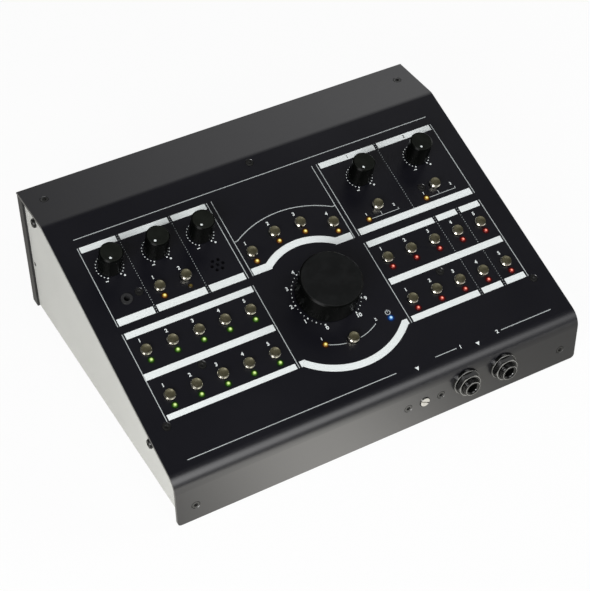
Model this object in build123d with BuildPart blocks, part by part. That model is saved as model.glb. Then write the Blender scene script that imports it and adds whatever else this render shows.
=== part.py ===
from build123d import *
import os
from math import atan2, cos, radians, sin, tan

# Studio monitor controller: a wedge-shaped desktop console.
# Millimetres, +Z up, +X to the user's right, -Y towards the user.
# The origin is on the table, at the centre of the whole outline seen from above.

os.makedirs("parts", exist_ok=True)

# ---------------------------------------------------------------- driving dimensions

# Folded cover
width = 275.0            # cover, side to side
depth = 210.0            # lip face to rear wall face
height = 97.8            # table to the top of the shelf
fold_height = 34.3       # table to the sharp corner of lip and slope
shelf_depth = 39.25      # flat top, front corner to rear wall face
sheet = 2.0              # cover sheet
lip_gap = 0.8            # table to the lip's lower edge
front_bend = 11.0        # outer radius where the lip turns into the slope
shelf_bend = 8.0         # outer radius where the slope turns into the shelf
rear_edge_radius = 1.6   # softened rear edge of the shelf
lip_corner_radius = 2.5

# Tray (base and side cheeks) and rear wall
gauge = 1.5              # steel of the tray and the rear wall
cheek_inset = 1.5        # cheek face inside the cover's edge
foot_height = 10.8       # table to the underside of the tray
flange = 16.0            # inward flange along the top of each cheek
rear_flange = 8.3        # side flange of the rear wall
rear_bottom = 10.0       # table to the rear wall's lower edge
rear_top_flange = 20.0
rear_corner = 1.2        # outer radius of the bends between wall and side flanges

# Clearances
play = 0.3               # between a moving piece and what it passes
seat = 0.1               # between two fixed pieces where one passes the other

# Control panel layout: u to the right of the centre line, v down the slope from the shelf corner
button_pitch = 17.0
inner_button_u = 47.4    # innermost button column of the left and right groups
led_drop = 6.9           # LED below its button
row_1_v = 99.0
row_2_v = 130.2
upper_row_v = 63.7       # talkback, outer speaker and phones source buttons
small_dial_v = 40.2
aux_u = -111.4
talkback_u = -81.4
cue_u = -51.6
phones_u = (60.0, 102.0)
phones_led_side = 9.7    # phones LED left of its button
speaker_outer_u = 28.3
speaker_inner_u = 9.0
speaker_inner_v = 56.2
master_v = 106.8
level_v = 140.2          # level button, on an arc around the master knob
level_led_u = 17.0
level_led_v = 137.0
power_led_u = 28.3
power_led_v = 136.6
aux_jack_v = 64.2
microphone_v = 63.7
microphone_hole_radius = 0.75
microphone_ring_radius = 3.6

# Screws
screw_inset = 10.4       # screws into the tray's flanges, in from the cheek's face
board_screws = [(0.0, 5.2), (-89.9, 120.3), (72.9, 120.3), (-102.7, 62.5), (93.3, 62.4)]
panel_edge_screw_v = 147.3
shelf_screw_front = 16.0  # ahead of the rear wall face
lip_screw_z = 12.6
screw_radius = 1.5
head_radius = 2.8
head_depth = 1.4
pan_head_radius = 3.0
pan_head_top = 2.2
pan_head_height = 2.0
side_screw_front = (32.6, 8.0)  # behind the lip face, and below the slope there
side_screw_rear = (23.6, 8.8)   # ahead of the rear wall face, and below the top
cheek_hole_spot = (11.7, 47.2)  # ahead of the rear wall face, and above the table
cheek_hole_radius = 1.2
tab_width = 14.0         # cover tabs that take the side screws

# Buttons
button_radius = 3.25
button_length = 7.5
button_dish = 0.45
button_rim = 0.15
button_shoulder = 0.9    # radius of the rounded edge
button_in = 2.2          # top above the panel, latched
button_out = 4.0         # top above the panel, released
button_overtravel = 0.6
plunger_size = 3.0

# LEDs
led_radius = 1.5
led_tip_radius = 1.0
led_proud = 0.8
led_length = 4.0         # lens below the panel face
led_spacer = 3.4

# Boards
board = 1.6
board_depth = 14.0       # panel face to the control board's upper side
board_side_gap = 7.0     # control board's edge to the cheek's face
board_top_v = -2.0
board_bottom_v = 152.0
standoff_flats = 5.5
switch_size = 8.0
switch_height = 6.0
switch_bore_floor = 1.0
main_board_lift = 6.0
main_board_size = (150.0, 96.0)
main_board_centre = (-50.0, 124.0)   # x, and y behind the lip face
capacitor_size = (6.0, 12.0)         # radius and height of the smoothing capacitors
capacitor_count = 4
capacitor_row = -30.0                # from the board's middle
relay_size = (10.0, 20.0, 9.0)       # one relay for each output socket
relay_pitch = 18.0
relay_row = 12.0

# Knobs and their potentiometers
spindle_radius = 3.0
spindle_bottom = 11.3    # below the panel face
bushing_radius = 4.5
bushing_proud = 1.0
small_knob_radius = 7.2
small_knob_height = 16.8
small_knob_chamfer = 1.0
master_knob_radius = 19.3
master_knob_height = 18.0
master_knob_chamfer = 1.1
knob_draft = 0.2         # the skirt is this much wider than the cap
knob_lift = 0.6          # skirt above the panel
knob_wall = 1.8
knob_cap = 4.0
knob_hub = 2.0           # hub wall around the spindle
dot_radius = 0.8
dot_depth = 0.25
dot_centre = 4.3
pointer_width = 1.2
pointer_depth = 0.5
dial_sweep = 150.0       # each way from the top of the dial
small_pot = (11.5, 7.0)  # side and height of the body
master_pot = (25.0, 8.0)

# Pointer angles at rest, clockwise from the top of the dial
knob_angles = {"aux": -150.0, "talkback": -132.0, "cue": -140.0, "phones_1": -144.0, "phones_2": -147.0}
master_angle = 30.0

# Lip: phones jacks and preset trimmer
jack_x = (55.1, 81.7)
jack_z = 21.2
jack_bore = 3.2
jack_bore_length = 25.0
barrel_radius = 5.5
jack_proud = 8.5
rear_jack_proud = 2.5
jack_body = (14.0, 14.0, 18.0)
jack_setback = 0.5       # body behind the sheet, clear of the bend
nut_flange_radius = 9.0
nut_flange = 2.0
nut_flats = 15.0
nut_height = 5.5
rear_nut_height = 2.0
trimmer_x = 26.6
trimmer_z = 17.4
trimmer_radius = 3.0
trimmer_proud = 0.6
trimmer_slot = 0.9
trimmer_slot_angle = -28.0
trimmer_screw_side = 11.5
trimmer_body = (9.5, 9.5, 8.0)
trimmer_plate = (30.0, 9.0, 1.5)

# Aux jack
aux_bore = 1.8
aux_nose_radius = 3.5
aux_nose_proud = 0.8
aux_bore_length = 12.0
aux_body_side = 8.5
aux_body_top = 4.5       # below the panel face

# Rear wall sockets
socket_pitch = 26.6
socket_first_x = -118.5
socket_rows = (69.0, 33.0)
input_count = 8
output_count = 7
socket_flange = (26.0, 31.0)
socket_corner = 2.5
socket_flange_proud = 2.0
socket_body_radius = 11.8
socket_body_length = 22.0
mouth_radius = 9.6
mouth_depth = 1.5
cup_radius = 9.4
cup_depth = 14.0
contact_block_radius = 7.7
pin_circle = 5.0
pin_radius = 1.2
pin_length = 12.0
contact_radius = 1.4
contact_depth = 8.0
rear_jack_x = (67.7, 89.5)
inlet_x = 114.5
inlet_z = 52.0
inlet_flange = (31.0, 62.0)
inlet_corner = 3.0
inlet_flange_proud = 2.5
inlet_body = (27.0, 47.0, 24.0)
inlet_mouth = (23.0, 16.0)
inlet_mouth_depth = 15.0
inlet_mouth_chamfer = 4.0
inlet_mouth_drop = 12.5  # mouth centre below the inlet's centre
blade = (4.0, 2.0, 11.0)
blade_spots = ((-7.0, -2.0), (0.0, 2.0), (7.0, -2.0))  # from the mouth's centre
fuse_drawer = (22.0, 7.0, 0.8)   # outline, and the groove around it
fuse_drawer_lift = 1.5
rocker_lift = 15.0       # rocker pivot above the inlet's centre
rocker_pocket = (20.0, 14.4, 12.0)
rocker_size = (19.2, 12.4)
rocker_face = 2.0        # rocker's middle below the flange face
rocker_pivot = 4.5       # pivot below the rocker's ends
rocker_tilt = 8.0
rocker_v = 1.0           # the rocker's two faces meet this much lower in the middle

# Feet, microphone and transformer
foot_radius = 9.0
foot_taper = 1.2
foot_recess = (3.6, 5.0)
foot_inset = (28.0, 18.0)   # in from the cheek's face, and from the tray's front and rear
capsule_radius = 4.8
capsule_length = 6.5
capsule_gap = 0.3
boot_wall = 1.2
transformer_radius = 34.0
transformer_hole = 12.0
transformer_height = 30.0
transformer_edge = 7.0
transformer_centre = (80.0, 128.0)

# ---------------------------------------------------------------- shared planes and places

slope = atan2(height - fold_height, depth - shelf_depth)  # control panel above the horizontal
y_front = -(depth + inlet_flange_proud - jack_proud) / 2
y_rear = y_front + depth
y_wall = y_rear - gauge              # inner face of the rear wall
bend_y = y_rear - shelf_depth
cheek_x = width / 2 - cheek_inset
floor_z = foot_height + gauge        # upper side of the tray's base
board_top = -board_depth
screw_column = cheek_x - screw_inset
side_screws = [  # behind the lip face, above the table
    (side_screw_front[0], fold_height + side_screw_front[0] * tan(slope) - side_screw_front[1]),
    (depth - side_screw_rear[0], height - side_screw_rear[1]),
]
cheek_hole = (depth - cheek_hole_spot[0], cheek_hole_spot[1])

panel = Plane(origin=(0, bend_y, height), x_dir=(1, 0, 0), z_dir=(0, -sin(slope), cos(slope)))
lip = Plane(origin=(0, y_front, 0), x_dir=(1, 0, 0), z_dir=(0, -1, 0))
back = Plane(origin=(0, y_rear, 0), x_dir=(-1, 0, 0), z_dir=(0, 1, 0))
left_cheek = Plane(origin=(-cheek_x, y_front, 0), x_dir=(0, -1, 0), z_dir=(-1, 0, 0))
right_cheek = Plane(origin=(cheek_x, y_front, 0), x_dir=(0, 1, 0), z_dir=(1, 0, 0))


def on_panel(points, lift=0.0):
    """Places on the control panel, from (u, v) pairs."""
    return [panel.location * Location((u, -v, lift)) for u, v in points]


def on_lip(points):
    """Places on the lip's face, from (x, z) pairs, facing the user."""
    return [lip.location * Location((x, z, 0)) for x, z in points]


def on_back(points):
    """Places on the rear wall's face, from (x, z) pairs, facing away from the user."""
    return [back.location * Location((-x, z, 0)) for x, z in points]


def on_cheeks(points, lift=0.0):
    """Places on both cheeks, from (y behind the lip, z) pairs, facing outwards."""
    left = [left_cheek.location * Location((-y, z, lift)) for y, z in points]
    right = [right_cheek.location * Location((y, z, lift)) for y, z in points]
    return left + right


def save(piece, name):
    """Label a finished piece and write it as its own node."""
    piece.part.label = name
    export_step(piece.part, f"parts/{name}.step")


columns = [inner_button_u + i * button_pitch for i in range(5)]
left_columns = [-u for u in reversed(columns)]

buttons = {}  # name: (u, v, height of the top above the panel at rest)
for i, u in enumerate(left_columns, start=1):
    buttons[f"cue_source_button_{i}"] = (u, row_1_v, button_in)
    buttons[f"main_source_button_{i}"] = (u, row_2_v, button_in)
for i, u in enumerate(columns, start=1):
    buttons[f"mix_upper_button_{i}"] = (u, row_1_v, button_in)
    buttons[f"mix_lower_button_{i}"] = (u, row_2_v, button_in)
buttons["talkback_mic_button"] = (talkback_u - button_pitch / 2, upper_row_v, button_in)
buttons["talkback_active_button"] = (talkback_u + button_pitch / 2, upper_row_v, button_out)
buttons["speaker_button_1"] = (-speaker_outer_u, upper_row_v, button_in)
buttons["speaker_button_2"] = (-speaker_inner_u, speaker_inner_v, button_in)
buttons["speaker_button_3"] = (speaker_inner_u, speaker_inner_v, button_in)
buttons["speaker_button_4"] = (speaker_outer_u, upper_row_v, button_in)
for i, u in enumerate(phones_u, start=1):
    buttons[f"phones_source_button_{i}"] = (u, upper_row_v, button_out)
buttons["level_button"] = (0.0, level_v, button_out)
button_spots = [(u, v) for u, v, top in buttons.values()]

led_rows = (row_1_v + led_drop, row_2_v + led_drop)
green_leds = [(u, v) for v in led_rows for u in left_columns]
red_leds = [(u, v) for v in led_rows for u in columns]
amber_leds = [(u, v + led_drop) for name, (u, v, top) in buttons.items()
              if name.startswith(("talkback", "speaker"))]
amber_leds += [(u - phones_led_side, upper_row_v + led_drop) for u in phones_u]
amber_leds += [(-level_led_u, level_led_v)]
blue_led = [(power_led_u, power_led_v)]
led_spots = green_leds + red_leds + amber_leds + blue_led

small_dials = {"aux": aux_u, "talkback": talkback_u, "cue": cue_u,
               "phones_1": phones_u[0], "phones_2": phones_u[1]}
small_dial_spots = [(u, small_dial_v) for u in small_dials.values()]
master_spot = (0.0, master_v)
edge_screws = [(-screw_column, panel_edge_screw_v), (screw_column, panel_edge_screw_v)]
lip_screws = [(-screw_column, lip_screw_z), (screw_column, lip_screw_z)]
trimmer_screws = [(trimmer_x - trimmer_screw_side, trimmer_z), (trimmer_x + trimmer_screw_side, trimmer_z)]
shelf_plane = Plane.XY.offset(height)
shelf_screws = [shelf_plane.location * Location((side * screw_column, y_rear - shelf_screw_front, 0))
                for side in (-1, 1)]
flush_screws = (on_panel(board_screws + edge_screws) + on_lip(lip_screws + trimmer_screws)
                + shelf_screws)

inputs = [(socket_first_x + i * socket_pitch, socket_rows[0]) for i in range(input_count)]
outputs = [(socket_first_x + i * socket_pitch, socket_rows[1]) for i in range(output_count)]
front_jacks = [(x, jack_z) for x in jack_x]
rear_jacks = [(x, socket_rows[1]) for x in rear_jack_x]
foot_centres = [(side * (cheek_x - foot_inset[0]), y) for side in (-1, 1)
                for y in (y_front + sheet + foot_inset[1], y_wall - foot_inset[1])]


def wedge_outline(inset, floor, rear):
    """Closed side outline whose front, slope and top lie inset below the cover's outer face."""
    front = y_front + inset
    top = height - inset
    drop = inset / cos(slope)
    corner = fold_height + inset * tan(slope) - drop
    bend = y_front + (top - fold_height + drop) / tan(slope)
    FilletPolyline((front, floor), (front, corner), (bend, top), (rear, top),
                   radius=[front_bend - inset, shelf_bend - inset])
    Polyline((rear, top), (rear, floor), (front, floor))


# ---------------------------------------------------------------- housing

with BuildPart() as top_cover:
    with BuildSketch(Plane.YZ.offset(-width / 2)):
        with BuildLine():
            wedge_outline(0, lip_gap, y_rear)
        make_face()
    extrude(amount=width)
    with BuildSketch(Plane.YZ.offset(-width / 2)):
        with BuildLine():
            wedge_outline(sheet, lip_gap, y_rear)
        make_face()
    extrude(amount=width, mode=Mode.SUBTRACT)
    lip_ends = top_cover.edges().filter_by(Axis.Y).group_by(Axis.Z)[0]
    fillet(lip_ends, lip_corner_radius)
    rear_edge = top_cover.edges().filter_by(Axis.X).group_by(Axis.Y)[-1].sort_by(Axis.Z)[-1]
    fillet(rear_edge, rear_edge_radius)
    # Tabs inside the cheeks, which take the side screws
    tab_x = cheek_x - gauge - sheet
    with BuildSketch(Plane.YZ.offset(tab_x)):
        with BuildLine():
            wedge_outline(sheet, lip_gap, y_rear)
        make_face()
        with Locations(*[(y_front + y, z) for y, z in side_screws]):
            Rectangle(tab_width, tab_width, mode=Mode.INTERSECT)
    extrude(amount=sheet)
    mirror(about=Plane.YZ)
    with BuildSketch(panel):
        with Locations(*[(u, -v) for u, v in button_spots]):
            Circle(button_radius + play)
        with Locations(*[(u, -v) for u, v in led_spots]):
            Circle(led_radius + seat)
        with Locations(*[(u, -v) for u, v in small_dial_spots + [master_spot]]):
            Circle(bushing_radius + seat)
        with Locations((aux_u, -aux_jack_v)):
            Circle(aux_nose_radius + seat)
        with Locations((cue_u, -microphone_v)):
            Circle(microphone_hole_radius)
            with PolarLocations(microphone_ring_radius, 6):
                Circle(microphone_hole_radius)
    extrude(amount=-2 * sheet, mode=Mode.SUBTRACT)
    with BuildSketch(lip):
        with Locations(*front_jacks):
            Circle(barrel_radius + seat)
        with Locations((trimmer_x, trimmer_z)):
            Circle(trimmer_radius + play)
    extrude(amount=-2 * sheet, mode=Mode.SUBTRACT)
    with Locations(*flush_screws):
        CounterSinkHole(screw_radius, head_radius, depth=2 * sheet)
    with Locations(*on_cheeks(side_screws)):
        Hole(screw_radius, depth=gauge + 2 * sheet)
save(top_cover, "top_cover")

with BuildPart() as tray:
    with BuildSketch(Plane.YZ.offset(-cheek_x)):
        with BuildLine():
            wedge_outline(sheet, foot_height, y_wall)
        make_face()
    extrude(amount=2 * cheek_x)
    with BuildSketch(Plane.YZ.offset(gauge - cheek_x)):
        with BuildLine():
            wedge_outline(sheet + gauge, floor_z, y_wall)
        make_face()
    extrude(amount=2 * (cheek_x - gauge), mode=Mode.SUBTRACT)
    # Between the flanges the tray is open from the base up
    with BuildSketch(Plane.XY.offset(floor_z)):
        with Locations((0, (y_front + y_wall) / 2)):
            Rectangle(2 * (cheek_x - flange), depth)
    extrude(amount=height, mode=Mode.SUBTRACT)
    # Front tabs for the lip screws, with a notch in the base behind each
    with BuildSketch(Plane.XZ.offset(-(y_front + sheet))):
        with Locations((-screw_column, lip_screw_z), (screw_column, lip_screw_z)):
            Rectangle(flange - gauge, 4 * head_radius + sheet)
    extrude(amount=-gauge)
    with BuildSketch(Plane.XY.offset(foot_height)):
        with Locations(*[(side * screw_column, y_front + sheet + gauge + head_radius) for side in (-1, 1)]):
            Rectangle(2 * head_radius, 2 * head_radius)
    extrude(amount=gauge, mode=Mode.SUBTRACT)
    # Notches where the cover's tabs pass the flanges
    with BuildSketch(Plane.YZ.offset(-(cheek_x - gauge))):
        with Locations(*[(y_front + y, z) for y, z in side_screws]):
            Rectangle(tab_width + 2 * play, 2 * tab_width)
    extrude(amount=sheet + play, mode=Mode.SUBTRACT)
    with BuildSketch(Plane.YZ.offset(cheek_x - gauge - sheet - play)):
        with Locations(*[(y_front + y, z) for y, z in side_screws]):
            Rectangle(tab_width + 2 * play, 2 * tab_width)
    extrude(amount=sheet + play, mode=Mode.SUBTRACT)
    with Locations(*on_panel(edge_screws), *on_lip(lip_screws), *shelf_screws):
        Hole(screw_radius, depth=2 * sheet + 2 * gauge)
    with Locations(*on_cheeks(side_screws)):
        Hole(screw_radius, depth=2 * gauge)
    with Locations(*on_cheeks([cheek_hole])):
        Hole(cheek_hole_radius, depth=2 * gauge)
    with Locations(*[(x, y, floor_z) for x, y in foot_centres]):
        Hole(screw_radius, depth=gauge)
save(tray, "tray")

with BuildPart() as rear_wall:
    with BuildSketch(Plane.XY.offset(rear_bottom)):
        with Locations((0, y_rear - rear_flange / 2)):
            Rectangle(width, rear_flange)
        with Locations((0, y_wall - rear_flange / 2)):
            Rectangle(2 * cheek_x, rear_flange, mode=Mode.SUBTRACT)
    extrude(amount=height - sheet - rear_bottom)
    fillet(rear_wall.edges().filter_by(Axis.Z).group_by(Axis.Y)[-1], rear_corner)
    with BuildSketch(Plane.XY.offset(height - sheet - gauge)):
        with Locations((0, y_wall - rear_top_flange / 2)):
            Rectangle(2 * (cheek_x - flange - seat), rear_top_flange)
    extrude(amount=gauge)
    with BuildSketch(back):
        with Locations(*[(-x, z) for x, z in inputs + outputs]):
            Circle(socket_body_radius + seat)
        with Locations(*[(-x, z) for x, z in rear_jacks]):
            Circle(barrel_radius + seat)
        with Locations((-inlet_x, inlet_z)):
            Rectangle(inlet_body[0] + 2 * seat, inlet_body[1] + 2 * seat)
    extrude(amount=-gauge, mode=Mode.SUBTRACT)
save(rear_wall, "rear_wall")

with BuildPart() as feet:
    with BuildSketch():
        with Locations(*foot_centres):
            Circle(foot_radius)
    extrude(amount=foot_height)
    chamfer(feet.faces().sort_by(Axis.Z)[0:4].edges(), length=foot_taper)
    with Locations(*[Location((x, y, 0), (180, 0, 0)) for x, y in foot_centres]):
        Hole(foot_recess[0], depth=foot_recess[1])
        Hole(screw_radius, depth=foot_height)
save(feet, "feet")

# ---------------------------------------------------------------- fasteners

with BuildPart() as flush_screw:
    Cone(bottom_radius=screw_radius, top_radius=head_radius, height=head_depth,
         align=(Align.CENTER, Align.CENTER, Align.MAX))
    with Locations((0, 0, -head_depth)):
        Cylinder(screw_radius, sheet + gauge - head_depth, align=(Align.CENTER, Align.CENTER, Align.MAX))

with BuildPart() as flush_screw_set:
    with Locations(*flush_screws):
        add(flush_screw.part)
save(flush_screw_set, "flush_screws")


def pan_screw(shank):
    """A pan head screw. Z = 0 is under its head."""
    with BuildPart() as screw:
        Cone(bottom_radius=pan_head_radius, top_radius=pan_head_top, height=pan_head_height,
             align=(Align.CENTER, Align.CENTER, Align.MIN))
        Cylinder(screw_radius, shank, align=(Align.CENTER, Align.CENTER, Align.MAX))
    return screw.part


with BuildPart() as pan_screws:
    with Locations(*on_cheeks(side_screws)):
        add(pan_screw(gauge + sheet))
    with Locations(*[Location((x, y, foot_recess[1]), (180, 0, 0)) for x, y in foot_centres]):
        add(pan_screw(floor_z - foot_recess[1]))
save(pan_screws, "pan_screws")

with BuildPart() as standoffs:
    with BuildSketch(panel.offset(board_top)):
        with Locations(*[(u, -v) for u, v in board_screws]):
            RegularPolygon(standoff_flats / 2, 6, major_radius=False)
    extrude(amount=board_depth - sheet)
    main_x, main_y = main_board_centre[0], y_front + main_board_centre[1]
    with BuildSketch(Plane.XY.offset(floor_z)):
        with Locations((main_x, main_y)):
            with GridLocations(main_board_size[0] - 2 * standoff_flats,
                               main_board_size[1] - 2 * standoff_flats, 2, 2):
                RegularPolygon(standoff_flats / 2, 6, major_radius=False)
    extrude(amount=main_board_lift)
    with Locations(*on_panel(board_screws, -sheet)):
        Hole(screw_radius, depth=gauge + sheet)
save(standoffs, "standoffs")

# ---------------------------------------------------------------- buttons and their switches

with BuildPart() as button:
    with BuildSketch(Plane.XZ):
        with BuildLine():
            dish_radius = button_radius - button_shoulder - button_rim
            dish = ThreePointArc((0, -button_dish), (dish_radius / 2, -button_dish * 0.75), (dish_radius, 0))
            FilletPolyline(dish @ 1, (button_radius, 0), (button_radius, -button_length),
                           radius=button_shoulder)
            Polyline((button_radius, -button_length), (0, -button_length), dish @ 0)
        make_face()
    revolve(axis=Axis.Z)
    with BuildSketch(Plane.XY.offset(-button_length)):
        Rectangle(plunger_size, plunger_size)
    plunger_length = board_depth - switch_bore_floor - button_length + button_in - button_overtravel - play
    extrude(amount=-plunger_length)

for name, (u, v, top) in buttons.items():
    with BuildPart() as placed_button:
        with Locations(*on_panel([(u, v)], top)):
            add(button.part)
    save(placed_button, name)

with BuildPart() as switches:
    with BuildSketch(panel.offset(board_top)):
        with Locations(*[(u, -v) for u, v in button_spots]):
            Rectangle(switch_size, switch_size)
    extrude(amount=switch_height)
    with BuildSketch(panel.offset(board_top + switch_height)):
        with Locations(*[(u, -v) for u, v in button_spots]):
            Rectangle(plunger_size + 2 * play, plunger_size + 2 * play)
    extrude(amount=switch_bore_floor - switch_height, mode=Mode.SUBTRACT)
save(switches, "switches")

# ---------------------------------------------------------------- LEDs

with BuildPart() as led:
    Cone(bottom_radius=led_radius, top_radius=led_tip_radius, height=led_proud,
         align=(Align.CENTER, Align.CENTER, Align.MIN))
    Cylinder(led_radius, led_length, align=(Align.CENTER, Align.CENTER, Align.MAX))
    # Square spacer that holds the lens up from the board
    with BuildSketch(Plane.XY.offset(-board_depth)):
        Rectangle(led_spacer, led_spacer)
    extrude(amount=board_depth - led_length)

for name, spots in {"green_leds": green_leds, "red_leds": red_leds,
                    "amber_leds": amber_leds, "power_led": blue_led}.items():
    with BuildPart() as led_group:
        with Locations(*on_panel(spots)):
            add(led.part)
    save(led_group, name)

# ---------------------------------------------------------------- knobs and potentiometers


def knob_profile(radius, top, chamfer_size):
    """Half section of a hollow knob, from its axis outwards, over a spindle of its own."""
    bore = spindle_radius + seat / 2
    Polyline((bore, top - knob_cap), (0, top - knob_cap), (0, top), (radius - chamfer_size, top),
             (radius, top - chamfer_size), (radius + knob_draft, knob_lift),
             (radius + knob_draft - knob_wall, knob_lift), (radius - knob_wall, top - knob_cap),
             (bore + knob_hub, top - knob_cap), (bore + knob_hub, bushing_proud + knob_lift),
             (bore, bushing_proud + knob_lift), close=True)


for name, u in small_dials.items():
    with BuildPart() as small_knob:
        with BuildSketch(Plane.XZ):
            with BuildLine():
                knob_profile(small_knob_radius, small_knob_height, small_knob_chamfer)
            make_face()
        revolve(axis=Axis.Z)
        turn = radians(knob_angles[name])
        with Locations((dot_centre * sin(turn), dot_centre * cos(turn), small_knob_height)):
            Hole(dot_radius, depth=dot_depth)
        with Locations((0, 0, -spindle_bottom)):
            Cylinder(spindle_radius, spindle_bottom + small_knob_height - knob_cap - seat,
                     align=(Align.CENTER, Align.CENTER, Align.MIN))
    with BuildPart() as placed_knob:
        with Locations(*on_panel([(u, small_dial_v)])):
            add(small_knob.part)
    save(placed_knob, f"{name}_knob")

with BuildPart() as master_knob:
    with BuildSketch(Plane.XZ):
        with BuildLine():
            knob_profile(master_knob_radius, master_knob_height, master_knob_chamfer)
        make_face()
    revolve(axis=Axis.Z)
    turn = radians(master_angle)
    with Locations(Location((master_knob_radius * sin(turn), master_knob_radius * cos(turn), 0),
                            (0, 0, -master_angle))):
        Box(pointer_width, 2 * pointer_depth, 2 * master_knob_height, mode=Mode.SUBTRACT)
    with Locations((0, 0, -spindle_bottom)):
        Cylinder(spindle_radius, spindle_bottom + master_knob_height - knob_cap - seat,
                 align=(Align.CENTER, Align.CENTER, Align.MIN))
with BuildPart() as placed_master_knob:
    with Locations(*on_panel([master_spot])):
        add(master_knob.part)
save(placed_master_knob, "master_knob")

with BuildPart() as potentiometers:
    for spots, (side, body_height) in ((small_dial_spots, small_pot), ([master_spot], master_pot)):
        with BuildSketch(panel.offset(board_top)):
            with Locations(*[(u, -v) for u, v in spots]):
                Rectangle(side, side)
        extrude(amount=body_height)
    with BuildSketch(panel.offset(board_top + small_pot[1])):
        with Locations(*[(u, -v) for u, v in small_dial_spots + [master_spot]]):
            Circle(bushing_radius)
    extrude(amount=board_depth - small_pot[1] + bushing_proud)
    with Locations(*on_panel(small_dial_spots + [master_spot], bushing_proud)):
        Hole(spindle_radius + play, depth=bushing_proud + spindle_bottom + play)
    # Preset: body and fixing plate behind the lip
    plate_back = sheet + trimmer_plate[2]
    with BuildSketch(lip.offset(-sheet)):
        with Locations((trimmer_x, trimmer_z)):
            Rectangle(trimmer_plate[0], trimmer_plate[1])
    extrude(amount=-trimmer_plate[2])
    with BuildSketch(lip.offset(-plate_back)):
        with Locations((trimmer_x, trimmer_z)):
            Rectangle(trimmer_body[0], trimmer_body[1])
    extrude(amount=-trimmer_body[2])
    with Locations(*[lip.location * Location((trimmer_x, trimmer_z, -sheet))]):
        Hole(trimmer_radius + play, depth=trimmer_plate[2] + trimmer_body[2] / 2)
    with Locations(*[lip.location * Location((x, z, -sheet)) for x, z in trimmer_screws]):
        Hole(screw_radius, depth=trimmer_plate[2])
save(potentiometers, "potentiometers")

with BuildPart() as preset_trimmer:
    shaft_length = trimmer_proud + sheet + trimmer_plate[2] + trimmer_body[2] / 2 - play
    with Locations(*[lip.location * Location((trimmer_x, trimmer_z, trimmer_proud))]):
        Cylinder(trimmer_radius, shaft_length, align=(Align.CENTER, Align.CENTER, Align.MAX))
    with Locations(lip.location * Location((trimmer_x, trimmer_z, trimmer_proud), (0, 0, trimmer_slot_angle))):
        Box(3 * trimmer_radius, trimmer_slot, 2 * trimmer_slot, mode=Mode.SUBTRACT)
save(preset_trimmer, "preset_trimmer")

# ---------------------------------------------------------------- boards and inner pieces

with BuildPart() as control_board:
    with BuildSketch(panel.offset(board_top)):
        with Locations((0, -(board_top_v + board_bottom_v) / 2)):
            Rectangle(2 * (cheek_x - board_side_gap), board_bottom_v - board_top_v)
    extrude(amount=-board)
save(control_board, "control_board")

with BuildPart() as main_board:
    with BuildSketch(Plane.XY.offset(floor_z + main_board_lift)):
        with Locations((main_x, main_y)):
            Rectangle(*main_board_size)
    extrude(amount=board)
    with BuildSketch(Plane.XY.offset(floor_z + main_board_lift + board)):
        with Locations((main_x, main_y + capacitor_row)):
            with GridLocations(2 * capacitor_size[0] + capacitor_size[1], 0, capacitor_count, 1):
                Circle(capacitor_size[0])
    extrude(amount=capacitor_size[1])
    with BuildSketch(Plane.XY.offset(floor_z + main_board_lift + board)):
        with Locations((main_x, main_y + relay_row)):
            with GridLocations(relay_pitch, 0, output_count, 1):
                Rectangle(relay_size[0], relay_size[1])
    extrude(amount=relay_size[2])
save(main_board, "main_board")

with BuildPart() as transformer:
    with BuildSketch(Plane.XZ):
        with BuildLine():
            Polyline((transformer_hole, 0), (transformer_radius - transformer_edge, 0),
                     (transformer_radius, transformer_edge),
                     (transformer_radius, transformer_height - transformer_edge),
                     (transformer_radius - transformer_edge, transformer_height),
                     (transformer_hole, transformer_height), close=True)
        make_face()
    revolve(axis=Axis.Z)
with BuildPart() as placed_transformer:
    with Locations((transformer_centre[0], y_front + transformer_centre[1], floor_z)):
        add(transformer.part)
save(placed_transformer, "transformer")

with BuildPart() as microphone:
    with Locations(*on_panel([(cue_u, microphone_v)], -sheet - capsule_gap)):
        Cylinder(capsule_radius, capsule_length, align=(Align.CENTER, Align.CENTER, Align.MAX))
    boot_depth = sheet + capsule_gap + capsule_length
    with Locations(*on_panel([(cue_u, microphone_v)], board_top)):
        Cylinder(capsule_radius + boot_wall, board_depth - boot_depth,
                 align=(Align.CENTER, Align.CENTER, Align.MIN))
save(microphone, "talkback_microphone")

with BuildPart() as aux_jack:
    with BuildSketch(panel.offset(board_top)):
        with Locations((aux_u, -aux_jack_v)):
            Rectangle(aux_body_side, aux_body_side)
    extrude(amount=board_depth - aux_body_top)
    with BuildSketch(panel.offset(-aux_body_top)):
        with Locations((aux_u, -aux_jack_v)):
            Circle(aux_nose_radius)
    extrude(amount=aux_body_top + aux_nose_proud)
    with Locations(*on_panel([(aux_u, aux_jack_v)], aux_nose_proud)):
        Hole(aux_bore, depth=aux_bore_length)
save(aux_jack, "aux_jack")

# ---------------------------------------------------------------- jacks


def jack_shape(proud, wall, bore_length):
    """A 6.35 mm jack: barrel through its wall, and body behind it. Z = 0 is the wall's face."""
    shoulder = wall + jack_setback
    with BuildPart() as jack:
        with Locations((0, 0, proud)):
            Cylinder(barrel_radius, proud + shoulder, align=(Align.CENTER, Align.CENTER, Align.MAX))
        with Locations((0, 0, -shoulder)):
            Box(*jack_body, align=(Align.CENTER, Align.CENTER, Align.MAX))
        with Locations((0, 0, proud)):
            Hole(jack_bore, depth=bore_length)
    return jack.part


rear_bore_length = jack_bore_length - jack_proud + rear_jack_proud
with BuildPart() as jack_sockets:
    with Locations(*on_lip(front_jacks)):
        add(jack_shape(jack_proud, sheet, jack_bore_length))
    with Locations(*on_back(rear_jacks)):
        add(jack_shape(rear_jack_proud, gauge, rear_bore_length))
save(jack_sockets, "jack_sockets")

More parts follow.
